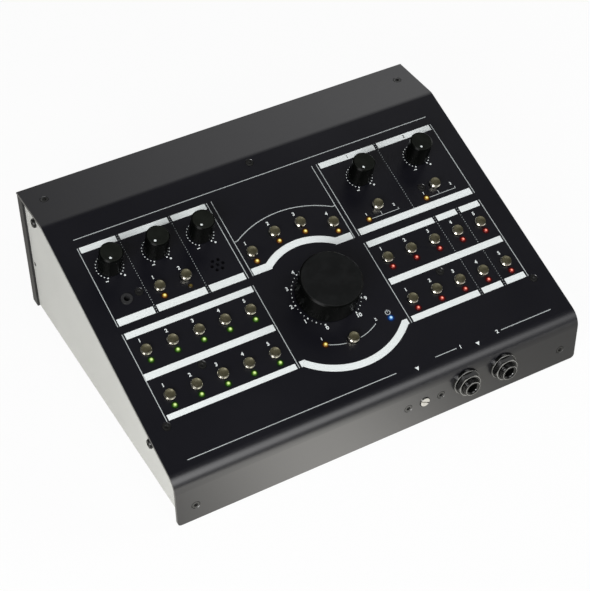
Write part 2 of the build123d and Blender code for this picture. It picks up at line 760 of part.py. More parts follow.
with BuildPart() as front_nut:
    Cylinder(nut_flange_radius, nut_flange, align=(Align.CENTER, Align.CENTER, Align.MIN))
    with BuildSketch(Plane.XY.offset(nut_flange)):
        RegularPolygon(nut_flats / 2, 6, major_radius=False)
    extrude(amount=nut_height - nut_flange)
    with Locations((0, 0, nut_height)):
        Hole(barrel_radius + seat / 2, depth=nut_height)

with BuildPart() as rear_nut:
    with BuildSketch():
        RegularPolygon(nut_flats / 2, 6, major_radius=False)
    extrude(amount=rear_nut_height)
    with Locations((0, 0, rear_nut_height)):
        Hole(barrel_radius + seat / 2, depth=rear_nut_height)

with BuildPart() as jack_nuts:
    with Locations(*on_lip(front_jacks)):
        add(front_nut.part)
    with Locations(*on_back(rear_jacks)):
        add(rear_nut.part)
save(jack_nuts, "jack_nuts")

# ---------------------------------------------------------------- rear wall sockets

with BuildPart() as socket_blank:
    with BuildSketch():
        RectangleRounded(*socket_flange, socket_corner)
    extrude(amount=socket_flange_proud)
    Cylinder(socket_body_radius, socket_body_length, align=(Align.CENTER, Align.CENTER, Align.MAX))

with BuildPart() as input_socket:
    add(socket_blank.part)
    with Locations((0, 0, socket_flange_proud)):
        Hole(mouth_radius, depth=mouth_depth)
    # Gap round the contact block, for the shell of the cable's plug
    with BuildSketch(Plane.XY.offset(socket_flange_proud - mouth_depth)):
        Circle(cup_radius)
        Circle(contact_block_radius, mode=Mode.SUBTRACT)
    extrude(amount=mouth_depth - cup_depth, mode=Mode.SUBTRACT)
    with Locations((0, 0, socket_flange_proud - mouth_depth)):
        with PolarLocations(pin_circle, 3, start_angle=90):
            Hole(contact_radius, depth=contact_depth)

with BuildPart() as output_socket:
    add(socket_blank.part)
    with Locations((0, 0, socket_flange_proud)):
        Hole(mouth_radius, depth=mouth_depth)
        Hole(cup_radius, depth=cup_depth)
    with Locations((0, 0, socket_flange_proud - cup_depth)):
        with PolarLocations(pin_circle, 3, start_angle=90):
            Cylinder(pin_radius, pin_length, align=(Align.CENTER, Align.CENTER, Align.MIN))

with BuildPart() as input_sockets:
    with Locations(*on_back(inputs)):
        add(input_socket.part)
save(input_sockets, "input_sockets")

with BuildPart() as output_sockets:
    with Locations(*on_back(outputs)):
        add(output_socket.part)
save(output_sockets, "output_sockets")

with BuildPart() as power_inlet:
    with BuildSketch(back):
        with Locations((-inlet_x, inlet_z)):
            RectangleRounded(*inlet_flange, inlet_corner)
    extrude(amount=inlet_flange_proud)
    with BuildSketch(back):
        with Locations((-inlet_x, inlet_z)):
            Rectangle(inlet_body[0], inlet_body[1])
    extrude(amount=-inlet_body[2])
    with BuildSketch(back.offset(inlet_flange_proud)):
        with Locations((-inlet_x, inlet_z - inlet_mouth_drop)):
            inlet_hole = Rectangle(*inlet_mouth)
        chamfer(inlet_hole.vertices().group_by(Axis.Y)[-1], inlet_mouth_chamfer)
    extrude(amount=-inlet_mouth_depth, mode=Mode.SUBTRACT)
    with BuildSketch(back.offset(inlet_flange_proud - inlet_mouth_depth)):
        with Locations(*[(-inlet_x + x, inlet_z - inlet_mouth_drop + z) for x, z in blade_spots]):
            Rectangle(blade[1], blade[0])
    extrude(amount=blade[2])
    with BuildSketch(back.offset(inlet_flange_proud)):
        with Locations((-inlet_x, inlet_z + fuse_drawer_lift)):
            Rectangle(fuse_drawer[0], fuse_drawer[1])
            Rectangle(fuse_drawer[0] - fuse_drawer[2], fuse_drawer[1] - fuse_drawer[2], mode=Mode.SUBTRACT)
    extrude(amount=-fuse_drawer[2], mode=Mode.SUBTRACT)
    with BuildSketch(back.offset(inlet_flange_proud)):
        with Locations((-inlet_x, inlet_z + rocker_lift)):
            Rectangle(rocker_pocket[0], rocker_pocket[1])
    extrude(amount=-rocker_pocket[2], mode=Mode.SUBTRACT)
save(power_inlet, "power_inlet")

with BuildPart() as power_rocker:
    pivot_y = y_rear + inlet_flange_proud - rocker_face - rocker_pivot
    tilt = radians(rocker_tilt)
    rocker_plane = Plane(origin=(inlet_x - rocker_size[0] / 2, pivot_y, inlet_z + rocker_lift),
                         x_dir=(0, cos(tilt), sin(tilt)), z_dir=(1, 0, 0))
    half = rocker_size[1] / 2
    with BuildSketch(rocker_plane):
        with BuildLine():
            Polyline((rocker_pivot, half), (rocker_pivot - rocker_v, 0), (rocker_pivot, -half), (0, -half))
            ThreePointArc((0, -half), (-half * 0.8, 0), (0, half))
            Line((0, half), (rocker_pivot, half))
        make_face()
    extrude(amount=rocker_size[0])
save(power_rocker, "power_rocker")
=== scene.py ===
from functools import partialmethod
from math import atan2, cos, degrees, pi, radians, sin, sqrt, tau

import bmesh
import bpy
from mathutils import Matrix, Vector


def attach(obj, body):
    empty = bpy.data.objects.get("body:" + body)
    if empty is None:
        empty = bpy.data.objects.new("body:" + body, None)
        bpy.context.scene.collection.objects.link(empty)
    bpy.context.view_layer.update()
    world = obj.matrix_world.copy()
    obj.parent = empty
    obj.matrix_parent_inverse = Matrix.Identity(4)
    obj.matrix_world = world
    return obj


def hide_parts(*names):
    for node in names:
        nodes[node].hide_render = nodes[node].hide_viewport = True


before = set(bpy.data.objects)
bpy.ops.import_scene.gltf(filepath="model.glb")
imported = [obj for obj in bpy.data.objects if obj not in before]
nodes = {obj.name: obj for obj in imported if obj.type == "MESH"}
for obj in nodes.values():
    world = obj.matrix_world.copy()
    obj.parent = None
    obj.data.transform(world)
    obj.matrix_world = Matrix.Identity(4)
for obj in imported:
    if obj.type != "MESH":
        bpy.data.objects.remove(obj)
for leftover in ("Cube", "Light", "Camera"):
    if leftover in bpy.data.objects:
        bpy.data.objects.remove(bpy.data.objects[leftover])
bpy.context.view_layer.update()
scene = bpy.context.scene

# Sizes are millimetres here and become metres when they are placed.
MM = 0.001

# -------- the console's sizes

height = 97.8
fold_height = 34.3
shelf_depth = 39.25
y_front, y_rear = -102.0, 108.0
bend_y = y_rear - shelf_depth
cheek_x = 136.0
slope = atan2(height - fold_height, bend_y - y_front)

# Places on the control panel: u to the right of its middle, v down the slope from its upper fold
button_pitch = 17.0
columns = [47.4 + i * button_pitch for i in range(5)]
left_columns = [-u for u in reversed(columns)]
button_rows = (99.0, 130.2)
upper_row = 63.7
talkback_u = (-89.9, -72.9)
phones_u = (60.0, 102.0)
speaker_spots = [(-28.3, upper_row), (-9.0, 56.2), (9.0, 56.2), (28.3, upper_row)]
level_v = 140.2
led_drop = 6.9
power_u = 28.3
master_v = 106.8
dial_v = 40.2
small_dials = {"aux": -111.4, "talkback": -81.4, "cue": -51.6, "phones_1": 60.0, "phones_2": 102.0}
knob_angles = {"aux": -150.0, "talkback": -132.0, "cue": -140.0, "phones_1": -144.0, "phones_2": -147.0}
small_knob_top, master_knob_top = 16.8, 18.0
microphone = (-51.6, upper_row)

# Places on the lip, the cheeks and the rear wall: how far along, then how high
preset = (26.6, 17.4)
jack_x = (55.1, 81.7)
jack_z = 21.2
cheek_hole = (198.3, 47.2)
rear_jacks = [(67.7, 33.0), (89.5, 33.0)]
socket_pitch = 26.6
inputs = [(-118.5 + socket_pitch * i, 69.0) for i in range(8)]
outputs = [(-118.5 + socket_pitch * i, 33.0) for i in range(7)]
shell_proud, cup_depth = 2.0, 14.0
inlet = (114.5, 52.0)
inlet_proud, inlet_depth = 2.5, 15.0
foot_spots = [(x, y) for x in (-108.0, 108.0) for y in (-82.0, 88.5)]
foot_tall = 5.0


def plane(x, y, z, *turns):
    """A flat side of the console: its origin, and the turns that stand its Z axis on the surface."""
    matrix = Matrix.Translation(Vector((x, y, z)) * MM)
    for angle, axis in turns:
        matrix = matrix @ Matrix.Rotation(angle, 4, axis)
    return matrix


PANEL = plane(0, bend_y, height, (slope, "X"))
SHELF = plane(0, 0, height)
LIP = plane(0, y_front, 0, (pi / 2, "X"))
BACK = plane(0, y_rear, 0, (pi, "Z"), (pi / 2, "X"))
LEFT = plane(-cheek_x, y_front, 0, (-pi / 2, "Z"), (pi / 2, "X"))
RIGHT = plane(cheek_x, y_front, 0, (pi / 2, "Z"), (pi / 2, "X"))
UNDER = plane(0, 0, 0, (pi, "X"))


def on(side, x, y, lift=0.0, turn=0.0):
    """A place on a flat side, turned about its own normal by some degrees."""
    return side @ Matrix.Translation(Vector((x, y, lift)) * MM) @ Matrix.Rotation(radians(turn), 4, "Z")


def on_panel(u, v, lift=0.0):
    """A place on the control panel."""
    return on(PANEL, u, -v, lift)


# -------- node graphs


class Value:
    """What a node of a graph gives, with ordinary arithmetic."""

    def __init__(self, graph, socket):
        self.graph, self.socket = graph, socket

    def math(self, operation, *others):
        return self.graph.node("ShaderNodeMath", {"operation": operation}, (self, *others))

    __add__ = __radd__ = partialmethod(math, "ADD")
    __sub__ = partialmethod(math, "SUBTRACT")
    __mul__ = partialmethod(math, "MULTIPLY")
    __truediv__ = partialmethod(math, "DIVIDE")
    __pow__ = partialmethod(math, "POWER")

    def __rsub__(self, other):
        return self.graph.node("ShaderNodeMath", {"operation": "SUBTRACT"}, (other, self))

    def ramp(self, low, high, first=0.0, last=1.0):
        """The first value below low and the last above high, smooth between."""
        settings = {"interpolation_type": "SMOOTHSTEP"}
        return self.graph.node("ShaderNodeMapRange", settings, (self, low, high, first, last))


class Graph:
    """A tree of nodes, and the calls that add to it."""

    def __init__(self, tree):
        self.tree = tree
        self.tree.nodes.clear()

    def node(self, kind, settings=None, inputs=(), output=0):
        """Any node: its settings first, then the values or links of its sockets."""
        made = self.tree.nodes.new(kind)
        for key, value in (settings or {}).items():
            setattr(made, key, value)
        pairs = inputs.items() if isinstance(inputs, dict) else enumerate(inputs)
        for key, value in pairs:
            if isinstance(value, Value):
                self.tree.links.new(value.socket, made.inputs[key])
            else:
                made.inputs[key].default_value = value
        return Value(self, made.outputs[output]) if made.outputs else None

    def dot(self, vector, direction):
        """How far a vector reaches along a direction."""
        settings = {"operation": "DOT_PRODUCT"}
        return self.node("ShaderNodeVectorMath", settings, (vector, direction), output="Value")

    def ray(self, kind):
        """1 for light of that kind, and 0 for the rest."""
        return self.node("ShaderNodeLightPath", output=f"Is {kind} Ray")


class Finish(Graph):
    """One material."""

    def __init__(self, name):
        self.material = bpy.data.materials.new(name)
        self.material.use_nodes = True
        super().__init__(self.material.node_tree)
        self.place = self.node("ShaderNodeTexCoord", output="Object")

    def noise(self, size, detail=2.0, roughness=0.5):
        """Cloudy noise whose features are about this many millimetres across."""
        inputs = {"Vector": self.place, "Scale": 1 / (size * MM), "Detail": detail, "Roughness": roughness}
        return self.node("ShaderNodeTexNoise", inputs=inputs)

    def mix(self, low, high, factor):
        """A colour between two colours."""
        return self.node("ShaderNodeMix", {"data_type": "RGBA"}, {0: factor, 6: low, 7: high}, output=2)

    def along(self, x, y, z):
        """The distance along a direction, in millimetres."""
        return self.dot(self.place, (x / MM, y / MM, z / MM))

    def attribute(self, name):
        """A number that the mesh's points carry."""
        return self.node("ShaderNodeAttribute", {"attribute_name": name}, output="Fac")

    def bump(self, level, depth):
        """A relief as deep as this many millimetres."""
        inputs = {"Strength": 1.0, "Distance": depth * MM, "Height": level}
        return self.node("ShaderNodeBump", inputs=inputs, output="Normal")

    def surface(self, **sockets):
        """Closes the material with a Principled shader."""
        named = {key.replace("_", " "): value for key, value in sockets.items()}
        return self.close(self.node("ShaderNodeBsdfPrincipled", inputs=named))

    def close(self, shader):
        """Ends the material with its output."""
        self.node("ShaderNodeOutputMaterial", inputs={"Surface": shader})
        return self.material


def colour(red, green, blue):
    """A screen colour, 0 to 255, as the shader's linear colour."""
    parts = [c / 255 for c in (red, green, blue)]
    return (*[c / 12.92 if c < 0.0404 else ((c + 0.055) / 1.055) ** 2.4 for c in parts], 1.0)


def grey(level):
    """A neutral linear colour."""
    return (level, level, level, 1.0)


def satin_paint(name, shade, worn, roughness, grain=0.35, depth_of_grain=0.012, gloss=0.5, lacquer=0.0):
    """Powder coat: fine orange peel, faint clouding, and a little polish where hands rest."""
    f = Finish(name)
    peel = f.noise(grain, 3.0)
    cloud = f.noise(55.0, 2.0)
    rub = f.noise(9.0, 4.0, 0.65).ramp(0.55, 0.8)
    return f.surface(
        Base_Color=f.mix(shade, worn, cloud.ramp(0.3, 0.75) * 0.6 + rub * 0.15),
        Roughness=roughness + (cloud - 0.5) * 0.08 + (peel - 0.5) * 0.1 - rub * 0.04,
        Specular_IOR_Level=gloss,
        Coat_Weight=lacquer,
        Coat_Roughness=roughness - 0.06,
        Coat_IOR=1.9,
        Normal=f.bump(peel, depth_of_grain),
    )


def moulded(name, shade, roughness, grain=0.5, depth_of_grain=0.01, gloss=0.5):
    """Moulded plastic or rubber: fine spark texture and a faint bloom."""
    f = Finish(name)
    spark = f.noise(grain, 4.0, 0.7)
    bloom = f.noise(14.0, 3.0)
    lighter = tuple(min(1.0, c * 1.6 + 0.004) for c in shade[:3]) + (1.0,)
    return f.surface(
        Base_Color=f.mix(shade, lighter, bloom.ramp(0.45, 0.8) * 0.5),
        Roughness=roughness + (spark - 0.5) * 0.14 + (bloom - 0.5) * 0.08,
        Specular_IOR_Level=gloss,
        Normal=f.bump(spark, depth_of_grain),
    )


def plated(name, shade, tarnish, roughness):
    """Satin plated metal with tiny scratches and a little tarnish."""
    f = Finish(name)
    hair = f.noise(0.25, 5.0, 0.75)
    cloud = f.noise(2.4, 3.0)
    return f.surface(
        Base_Color=f.mix(shade, tarnish, cloud.ramp(0.4, 0.75) * 0.7),
        Metallic=1.0,
        Roughness=roughness + (hair - 0.5) * 0.12 + (cloud - 0.5) * 0.08,
        Normal=f.bump(hair, 0.002),
    )


cover_paint = satin_paint("cover_paint", (0.0018, 0.0018, 0.0044, 1), (0.003, 0.003, 0.006, 1), 0.35,
                          gloss=0.7, lacquer=0.6)
cheek_paint = satin_paint("cheek_paint", (0.56, 0.563, 0.532, 1), (0.52, 0.522, 0.494, 1), 0.42)
wall_paint = satin_paint("wall_paint", (0.01, 0.01, 0.011, 1), grey(0.014), 0.42)
print_ink = satin_paint("print_ink", (0.74, 0.78, 0.775, 1), (0.68, 0.72, 0.715, 1), 0.5, 0.2, 0.004)
line_ink = satin_paint("line_ink", (0.42, 0.45, 0.45, 1), (0.35, 0.38, 0.38, 1), 0.5, 0.2, 0.004)
dark_ink = satin_paint("dark_ink", (0.03, 0.03, 0.032, 1), grey(0.04), 0.5, 0.2, 0.004)
switch_plastic = moulded("switch_plastic", (0.02, 0.02, 0.022, 1), 0.55)
jack_plastic = moulded("jack_plastic", grey(0.003), 0.15, depth_of_grain=0.002)
screw_black = moulded("screw_black", grey(0.004), 0.3, 0.3, 0.003)
collar_plastic = moulded("collar_plastic", (0.021, 0.021, 0.022, 1), 0.4, depth_of_grain=0.004, gloss=0.8)
hole_black = moulded("hole_black", grey(0.0008), 0.85, gloss=0.1)
inlet_plastic = moulded("inlet_plastic", grey(0.012), 0.38)
rocker_plastic = moulded("rocker_plastic", grey(0.012), 0.2, depth_of_grain=0.003)
foot_rubber = moulded("foot_rubber", grey(0.014), 0.75, 0.8, 0.03)
black_oxide = satin_paint("black_oxide", grey(0.017), grey(0.022), 0.38, 0.3, 0.004,
                          gloss=0.8, lacquer=0.5)
nickel = plated("nickel", (0.62, 0.61, 0.58, 1), (0.5, 0.49, 0.46, 1), 0.3)
bright_steel = plated("bright_steel", (0.8, 0.79, 0.76, 1), (0.62, 0.61, 0.58, 1), 0.26)
gold_plate = plated("gold_plate", (0.86, 0.62, 0.26, 1), (0.74, 0.52, 0.22, 1), 0.22)
brass = plated("brass", (0.72, 0.56, 0.26, 1), (0.56, 0.42, 0.2, 1), 0.3)
can_metal = plated("can_metal", (0.66, 0.66, 0.67, 1), grey(0.55), 0.34)


def knob_black(name, knob_top, shade, rings):
    """A knob: dull on top, glossier and darker round its side. The large one's top has turned rings."""
    f = Finish(name)
    # How far aside of the master knob's axis, up the slope from it, and out from the panel
    aside = f.along(1, 0, 0)
    uphill = f.along(0, cos(slope), sin(slope)) - (bend_y * cos(slope) + height * sin(slope) - master_v)
    radius = (aside * aside + uphill * uphill) ** 0.5
    lift = f.along(0, -sin(slope), cos(slope)) - (height * cos(slope) - bend_y * sin(slope))
    top = lift.ramp(knob_top - 0.5, knob_top - 0.1)
    ring = (radius * 9.0).math("SINE") * top * rings
    cloud = f.noise(6.0, 3.0)
    worn = tuple(c * 1.35 for c in shade[:3]) + (1,)
    face = f.mix(shade, worn, cloud.ramp(0.35, 0.7))
    return f.surface(
        Base_Color=f.mix((0.0012, 0.0014, 0.0012, 1), face, top),
        Roughness=0.28 + top * 0.2 + (cloud - 0.5) * 0.06,
        Specular_IOR_Level=0.05,
        Normal=f.bump(ring * 0.5 + f.noise(0.3, 2.0) * 0.5, 0.006),
    )


def button_plate():
    """Aged plating: dull and brownish on the dished top, polished round the flared skirt."""
    f = Finish("button_metal")
    top = 1 - f.attribute("radial").ramp(0.825, 0.85)
    hair = f.noise(0.25, 5.0, 0.75)
    cloud = f.noise(2.4, 3.0)
    dull = f.mix((0.104, 0.095, 0.056, 1), (0.080, 0.073, 0.041, 1), cloud.ramp(0.4, 0.75))
    return f.surface(
        Base_Color=f.mix((0.72, 0.69, 0.59, 1), dull, top),
        Metallic=1 - top * 0.5,
        Roughness=0.12 + top * 0.3 + (hair - 0.5) * 0.08,
        Normal=f.bump(hair, 0.002),
    )


def flush_oxide():
    """Black oxide, with painted shade in the countersink gap round the head."""
    f = Finish("flush_oxide")
    # Painted shade: the head's outer edge turns near black and dull, as the shade in the countersink gap
    painted_gap_shade = f.attribute("radial").ramp(0.86, 0.92)
    cloud = f.noise(4.0, 3.0)
    oxide = f.mix(grey(0.006), (0.009, 0.009, 0.008, 1), cloud)
    return f.surface(
        Base_Color=f.mix(oxide, grey(0.0005), painted_gap_shade),
        Roughness=0.36 + painted_gap_shade * 0.55 + (cloud - 0.5) * 0.06,
        Specular_IOR_Level=0.25,
        Coat_Weight=0.7 - painted_gap_shade * 0.7,
        Coat_Roughness=0.32,
        Coat_IOR=1.9,
        Normal=f.bump(f.noise(0.3, 3.0), 0.003),
    )


def rubbed_black(name):
    """Glossy black, with a painted grey highlight along its marked edges."""
    f = Finish(name)
    # Painted highlight: points marked in the worn attribute turn grey, standing in for light caught on the
    # edges
    painted_highlight = f.attribute("worn").ramp(0.55, 0.9)
    cloud = f.noise(3.0, 3.0)
    return f.surface(
        Base_Color=f.mix(grey(0.003), (0.3, 0.3, 0.28, 1), painted_highlight * (0.5 + cloud * 0.6)),
        Roughness=0.14 + painted_highlight * 0.14 + (cloud - 0.5) * 0.06,
        Specular_IOR_Level=0.8,
        Normal=f.bump(f.noise(0.4, 4.0, 0.7), 0.002),
    )


def solder_mask():
    """Green board lacquer with copper lines showing through."""
    f = Finish("solder_mask")
    trace = f.node("ShaderNodeTexBrick", inputs={"Vector": f.place, "Scale": 160.0, "Mortar Size": 0.05},
                   output="Fac")
    return f.surface(
        Base_Color=f.mix((0.012, 0.085, 0.03, 1), (0.03, 0.17, 0.06, 1), trace),
        Roughness=0.32 + f.noise(3.0) * 0.1,
        Coat_Weight=0.4,
        Normal=f.bump(trace, 0.03),
    )


def winding_tape():
    """Overlapping turns of yellow polyester tape."""
    f = Finish("winding_tape")
    wave = f.node("ShaderNodeTexWave", {"bands_direction": "DIAGONAL"},
                  {"Vector": f.place, "Scale": 120.0, "Distortion": 1.5})
    return f.surface(
        Base_Color=f.mix((0.62, 0.42, 0.06, 1), (0.45, 0.28, 0.04, 1), wave),
        Roughness=0.3 + wave * 0.15,
        Normal=f.bump(wave, 0.05),
    )


def lit_lens(name, core, body, edge, strength):
    """A lit indicator: pale in the middle of the lens, its own colour further out, and dark at the rim."""
    f = Finish(name)
    radial = f.attribute("radial")
    shade = f.mix(f.mix(core, body, radial.ramp(0.1, 0.5)), edge, radial.ramp(0.38, 0.8))
    return f.surface(
        Base_Color=f.mix(grey(0.004), edge, 0.3),
        Roughness=0.2 + f.noise(0.6) * 0.06,
        Specular_IOR_Level=0.3,
        Emission_Color=shade,
        Emission_Strength=strength,
    )


def glow(name, shade, density, strength):
    """Light that a lens throws on the paint around it, fading outwards."""
    f = Finish(name)
    fade = (1 - f.attribute("radial").ramp(0.35, 1.0)) ** 1.5
    return f.surface(
        Base_Color=grey(0.0),
        Roughness=0.9,
        Specular_IOR_Level=0.0,
        Alpha=fade * density,
        Emission_Color=shade,
        Emission_Strength=strength,
    )


# -------- meshes


def mesh_of(name, shape, smooth):
    """A mesh of a (points, faces) shape, sharp only at its edges if it is smooth."""
    points, faces = shape
    mesh = bpy.data.meshes.new(name)
    mesh.from_pydata([tuple(p) for p in points], [], faces)
    if smooth:
        mesh.shade_smooth()
        mesh.set_sharp_from_angle(angle=radians(32))
    return mesh


def placed(name, data):
    """A new object in the scene."""
    made = bpy.data.objects.new(name, data)
    scene.collection.objects.link(made)
    return made


def final_mesh(work):
    """A work object's final mesh. The object itself is thrown away."""
    graph = bpy.context.evaluated_depsgraph_get()
    mesh = bpy.data.meshes.new_from_object(work.evaluated_get(graph), depsgraph=graph)
    bpy.data.objects.remove(work)
    return mesh


def piece(name, shape, finish, body="console", smooth=False):
    """A finished piece, with its points already in metres and in place."""
    return seat(name, mesh_of(name, shape, smooth), finish, body)


def seat(name, mesh, finish, body):
    """Puts a mesh in the scene as a piece that rides on a body."""
    mesh.materials.clear()
    mesh.materials.append(finish)
    made = placed(name, mesh)
    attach(made, body)
    return made


def polar(radius, angle, level):
    """A point about Z from millimetres, in metres."""
    return Vector((radius * cos(angle), radius * sin(angle), level)) * MM


def turned(profile, segments):
    """A shape turned about Z from (radius, height) pairs in millimetres, solid on the left of their path."""
    points, rings, faces = [], [], []
    for radius, level in profile:
        if radius < 1e-6:
            rings.append([len(points)] * segments)
            points.append(polar(0, 0, level))
            continue
        rings.append([len(points) + i for i in range(segments)])
        points += [polar(radius, tau * i / segments, level) for i in range(segments)]
    for inner, outer in zip(rings, rings[1:]):
        for i in range(segments):
            j = (i + 1) % segments
            corners = [inner[i], inner[j], outer[j], outer[i]]
            faces.append([c for k, c in enumerate(corners) if c not in corners[:k]])
    return points, faces


def joined(*shapes):
    """Several (points, faces) shapes as one."""
    points, faces = [], []
    for more_points, more_faces in shapes:
        faces += [[len(points) + c for c in face] for face in more_faces]
        points += list(more_points)
    return points, faces


def moved(shape, matrix):
    """A shape somewhere else."""
    points, faces = shape
    return [matrix @ Vector(p) for p in points], faces


def lifted(shape, level):
    """A shape moved up its own axis by this many millimetres."""
    return moved(shape, Matrix.Translation(Vector((0, 0, level)) * MM))


def hexagon(flats, angle):
    """How far out a hexagon's edge is, at an angle from one of its corners."""
    return (flats / 2) / cos((angle % (pi / 3)) - pi / 6)


def block(x, y, z, edge=0.2):
    """A box with its long edges broken, sitting on z = 0, in millimetres."""
    outline = []
    for sx, sy in ((1, 1), (-1, 1), (-1, -1), (1, -1)):
        for dx, dy in ((edge, 0), (0, edge)) if sx * sy < 0 else ((0, edge), (edge, 0)):
            outline.append((sx * (x / 2 - dx), sy * (y / 2 - dy)))
    inner = [(px * (1 - 2 * edge / x), py * (1 - 2 * edge / y)) for px, py in outline]
    levels = [(outline, 0), (outline, z - edge), (inner, z)]
    points = [Vector((px, py, level)) * MM for ring, level in levels for px, py in ring]
    n = len(outline)
    faces = [[k * n + i, k * n + (i + 1) % n, (k + 1) * n + (i + 1) % n, (k + 1) * n + i]
             for k in range(2) for i in range(n)]
    return points, faces + [list(range(2 * n, 3 * n)), list(reversed(range(n)))]


def socket_head(radius, rise, flats, sink, crown=0.0, edge=0.16):
    """A screw head with a hexagon socket, its top at z = rise."""
    segments = 24
    lead_in = 1.12 * flats / sqrt(3)
    rim = edge * radius
    angles = [tau * i / segments for i in range(segments)]
    points, faces = [], []

    def ring(radii, level):
        start = len(points)
        points.extend(polar(r, a, level) for r, a in zip(radii, angles))
        return list(range(start, start + segments))

    socket = [hexagon(flats, a) for a in angles]
    rings = [
        ring([radius] * segments, 0),
        ring([radius] * segments, max(rise - rim - crown, 0)),
        ring([radius - rim] * segments, rise - crown * 0.5),
        ring([lead_in] * segments, rise),
        ring(socket, rise - 0.06),
        ring(socket, rise - sink),
    ]
    for outer, inner in zip(rings, rings[1:]):
        for i in range(segments):
            j = (i + 1) % segments
            faces.append([outer[i], outer[j], inner[j], inner[i]])
    faces.append(rings[-1])
    return points, faces


# -------- geometry nodes


class Recipe(Graph):
    """A Geometry Nodes tree with named sizes, run on a set of places to make one plain mesh."""

    def __init__(self, name, **sizes):
        super().__init__(bpy.data.node_groups.new(name, "GeometryNodeTree"))
        face = self.tree.interface
        face.new_socket("Places", in_out="INPUT", socket_type="NodeSocketGeometry")
        for label, value in sizes.items():
            kind = {int: "Int", float: "Float"}.get(type(value), "Object")
            item = face.new_socket(label, in_out="INPUT", socket_type="NodeSocket" + kind)
            if kind != "Object":
                item.default_value = value
        face.new_socket("Finish", in_out="INPUT", socket_type="NodeSocketMaterial")
        face.new_socket("Piece", in_out="OUTPUT", socket_type="NodeSocketGeometry")

    def given(self, label):
        """One of the recipe's inputs."""
        return self.node("NodeGroupInput", output=label)

    def copy(self, shape):
        """Ends the tree with copies of a shape on the places, with their own turn and size, as one mesh."""
        turn = self.node("GeometryNodeInputNamedAttribute", {"data_type": "FLOAT_VECTOR"}, {"Name": "turn"})
        size = self.node("GeometryNodeInputNamedAttribute", {"data_type": "FLOAT"}, {"Name": "size"})
        rotation = self.node("FunctionNodeEulerToRotation", inputs={"Euler": turn})
        inputs = {"Points": self.given("Places"), "Instance": shape, "Rotation": rotation, "Scale": size}
        copies = self.node("GeometryNodeInstanceOnPoints", inputs=inputs, output="Instances")
        real = self.node("GeometryNodeRealizeInstances", inputs={"Geometry": copies})
        finish = self.given("Finish")
        done = self.node("GeometryNodeSetMaterial", inputs={"Geometry": real, "Material": finish})
        self.node("NodeGroupOutput", inputs={"Piece": done})

    def make(self, name, places, finish, body="console", slot=None, sizes=(), **values):
        """Runs the recipe on the places, which are matrices, and seats the result."""
        spots = bpy.data.meshes.new(name + "_places")
        spots.from_pydata([m.to_translation() for m in places], [], [])
        turns = [angle for m in places for angle in m.to_euler()]
        spots.attributes.new("turn", "FLOAT_VECTOR", "POINT").data.foreach_set("vector", turns)
        spots.attributes.new("size", "FLOAT", "POINT").data.foreach_set("value", sizes or [1.0] * len(places))
        work = placed(name + "_work", spots)
        modifier = work.modifiers.new("Recipe", "NODES")
        modifier.node_group = self.tree
        idents = {s.name: s.identifier for s in self.tree.interface.items_tree if s.in_out == "INPUT"}
        for label, value in {**values, "Finish": finish}.items():
            modifier[idents[label]] = value
        mesh = final_mesh(work)
        mesh.name = name
        return seat(name, mesh, finish, body)


# Copies of a unit mesh, such as a screw head or a lens
repeat = Recipe("Repeat", Unit=None)
repeat.copy(repeat.node("GeometryNodeObjectInfo", {"transform_space": "ORIGINAL"},
                        {"Object": repeat.given("Unit")}, output="Geometry"))

# Printed dots
dots = Recipe("Dots", Radius=0.4 * MM, Corners=12)
dots.copy(dots.node("GeometryNodeMeshCircle", {"fill_type": "NGON"},
                    {"Vertices": dots.given("Corners"), "Radius": dots.given("Radius")}))

# A screw thread: a ridge that climbs round each place's own axis
thread = Recipe("Thread", Turns=4.0, Climb=3.0 * MM, Radius=5.5 * MM, Ridge=0.3 * MM)
winding = {"Resolution": 24, "Rotations": thread.given("Turns"), "Height": thread.given("Climb"),
           "Start Radius": thread.given("Radius"), "End Radius": thread.given("Radius")}
helix = thread.node("GeometryNodeCurveSpiral", inputs=winding)
ridge = thread.node("GeometryNodeCurvePrimitiveCircle", {"mode": "RADIUS"},
                    {"Resolution": 4, "Radius": thread.given("Ridge")}, output="Curve")
thread.copy(thread.node("GeometryNodeCurveToMesh",
                        inputs={"Curve": helix, "Profile Curve": ridge, "Fill Caps": True}))


def unit(name, shape, radial=0.0, worn=None, smooth=True):
    """A mesh to be copied, kept out of the scene.

    Its points may carry how far out they lie, as a share of the radius given, and which of them get a painted
    highlight.
    """
    mesh = mesh_of(name, shape, smooth)
    if radial:
        outward = [min(1.0, p.co.to_2d().length / (radial * MM)) for p in mesh.vertices]
        mesh.attributes.new("radial", "FLOAT", "POINT").data.foreach_set("value", outward)
    if worn:
        painted_highlight = [float(worn(p.co.to_2d().length / MM, p.co.z / MM)) for p in mesh.vertices]
        mesh.attributes.new("worn", "FLOAT", "POINT").data.foreach_set("value", painted_highlight)
    return bpy.data.objects.new(name, mesh)


# -------- the CAD pieces keep their shape

finishes = {
    "top_cover": cover_paint, "tray": cheek_paint, "rear_wall": wall_paint, "feet": foot_rubber,
    "standoffs": brass, "switches": switch_plastic, "potentiometers": can_metal,
    "control_board": solder_mask(), "transformer": winding_tape(), "talkback_microphone": can_metal,
    "aux_jack": collar_plastic, "input_sockets": nickel, "output_sockets": nickel,
    "power_inlet": inlet_plastic, "power_rocker": rocker_plastic, "preset_trimmer": bright_steel,
    "master_knob": knob_black("master_black", master_knob_top, (0.0078, 0.0082, 0.0082, 1), 1.0),
}
button_metal = button_plate()
small_black = knob_black("small_black", small_knob_top, (0.0078, 0.0088, 0.0073, 1), 0.0)
finishes["main_board"] = finishes["control_board"]
for name, node in nodes.items():
    finish = finishes.get(name, button_metal if "button" in name else small_black)
    for held in node.material_slots:
        held.material = finish

# -------- screws

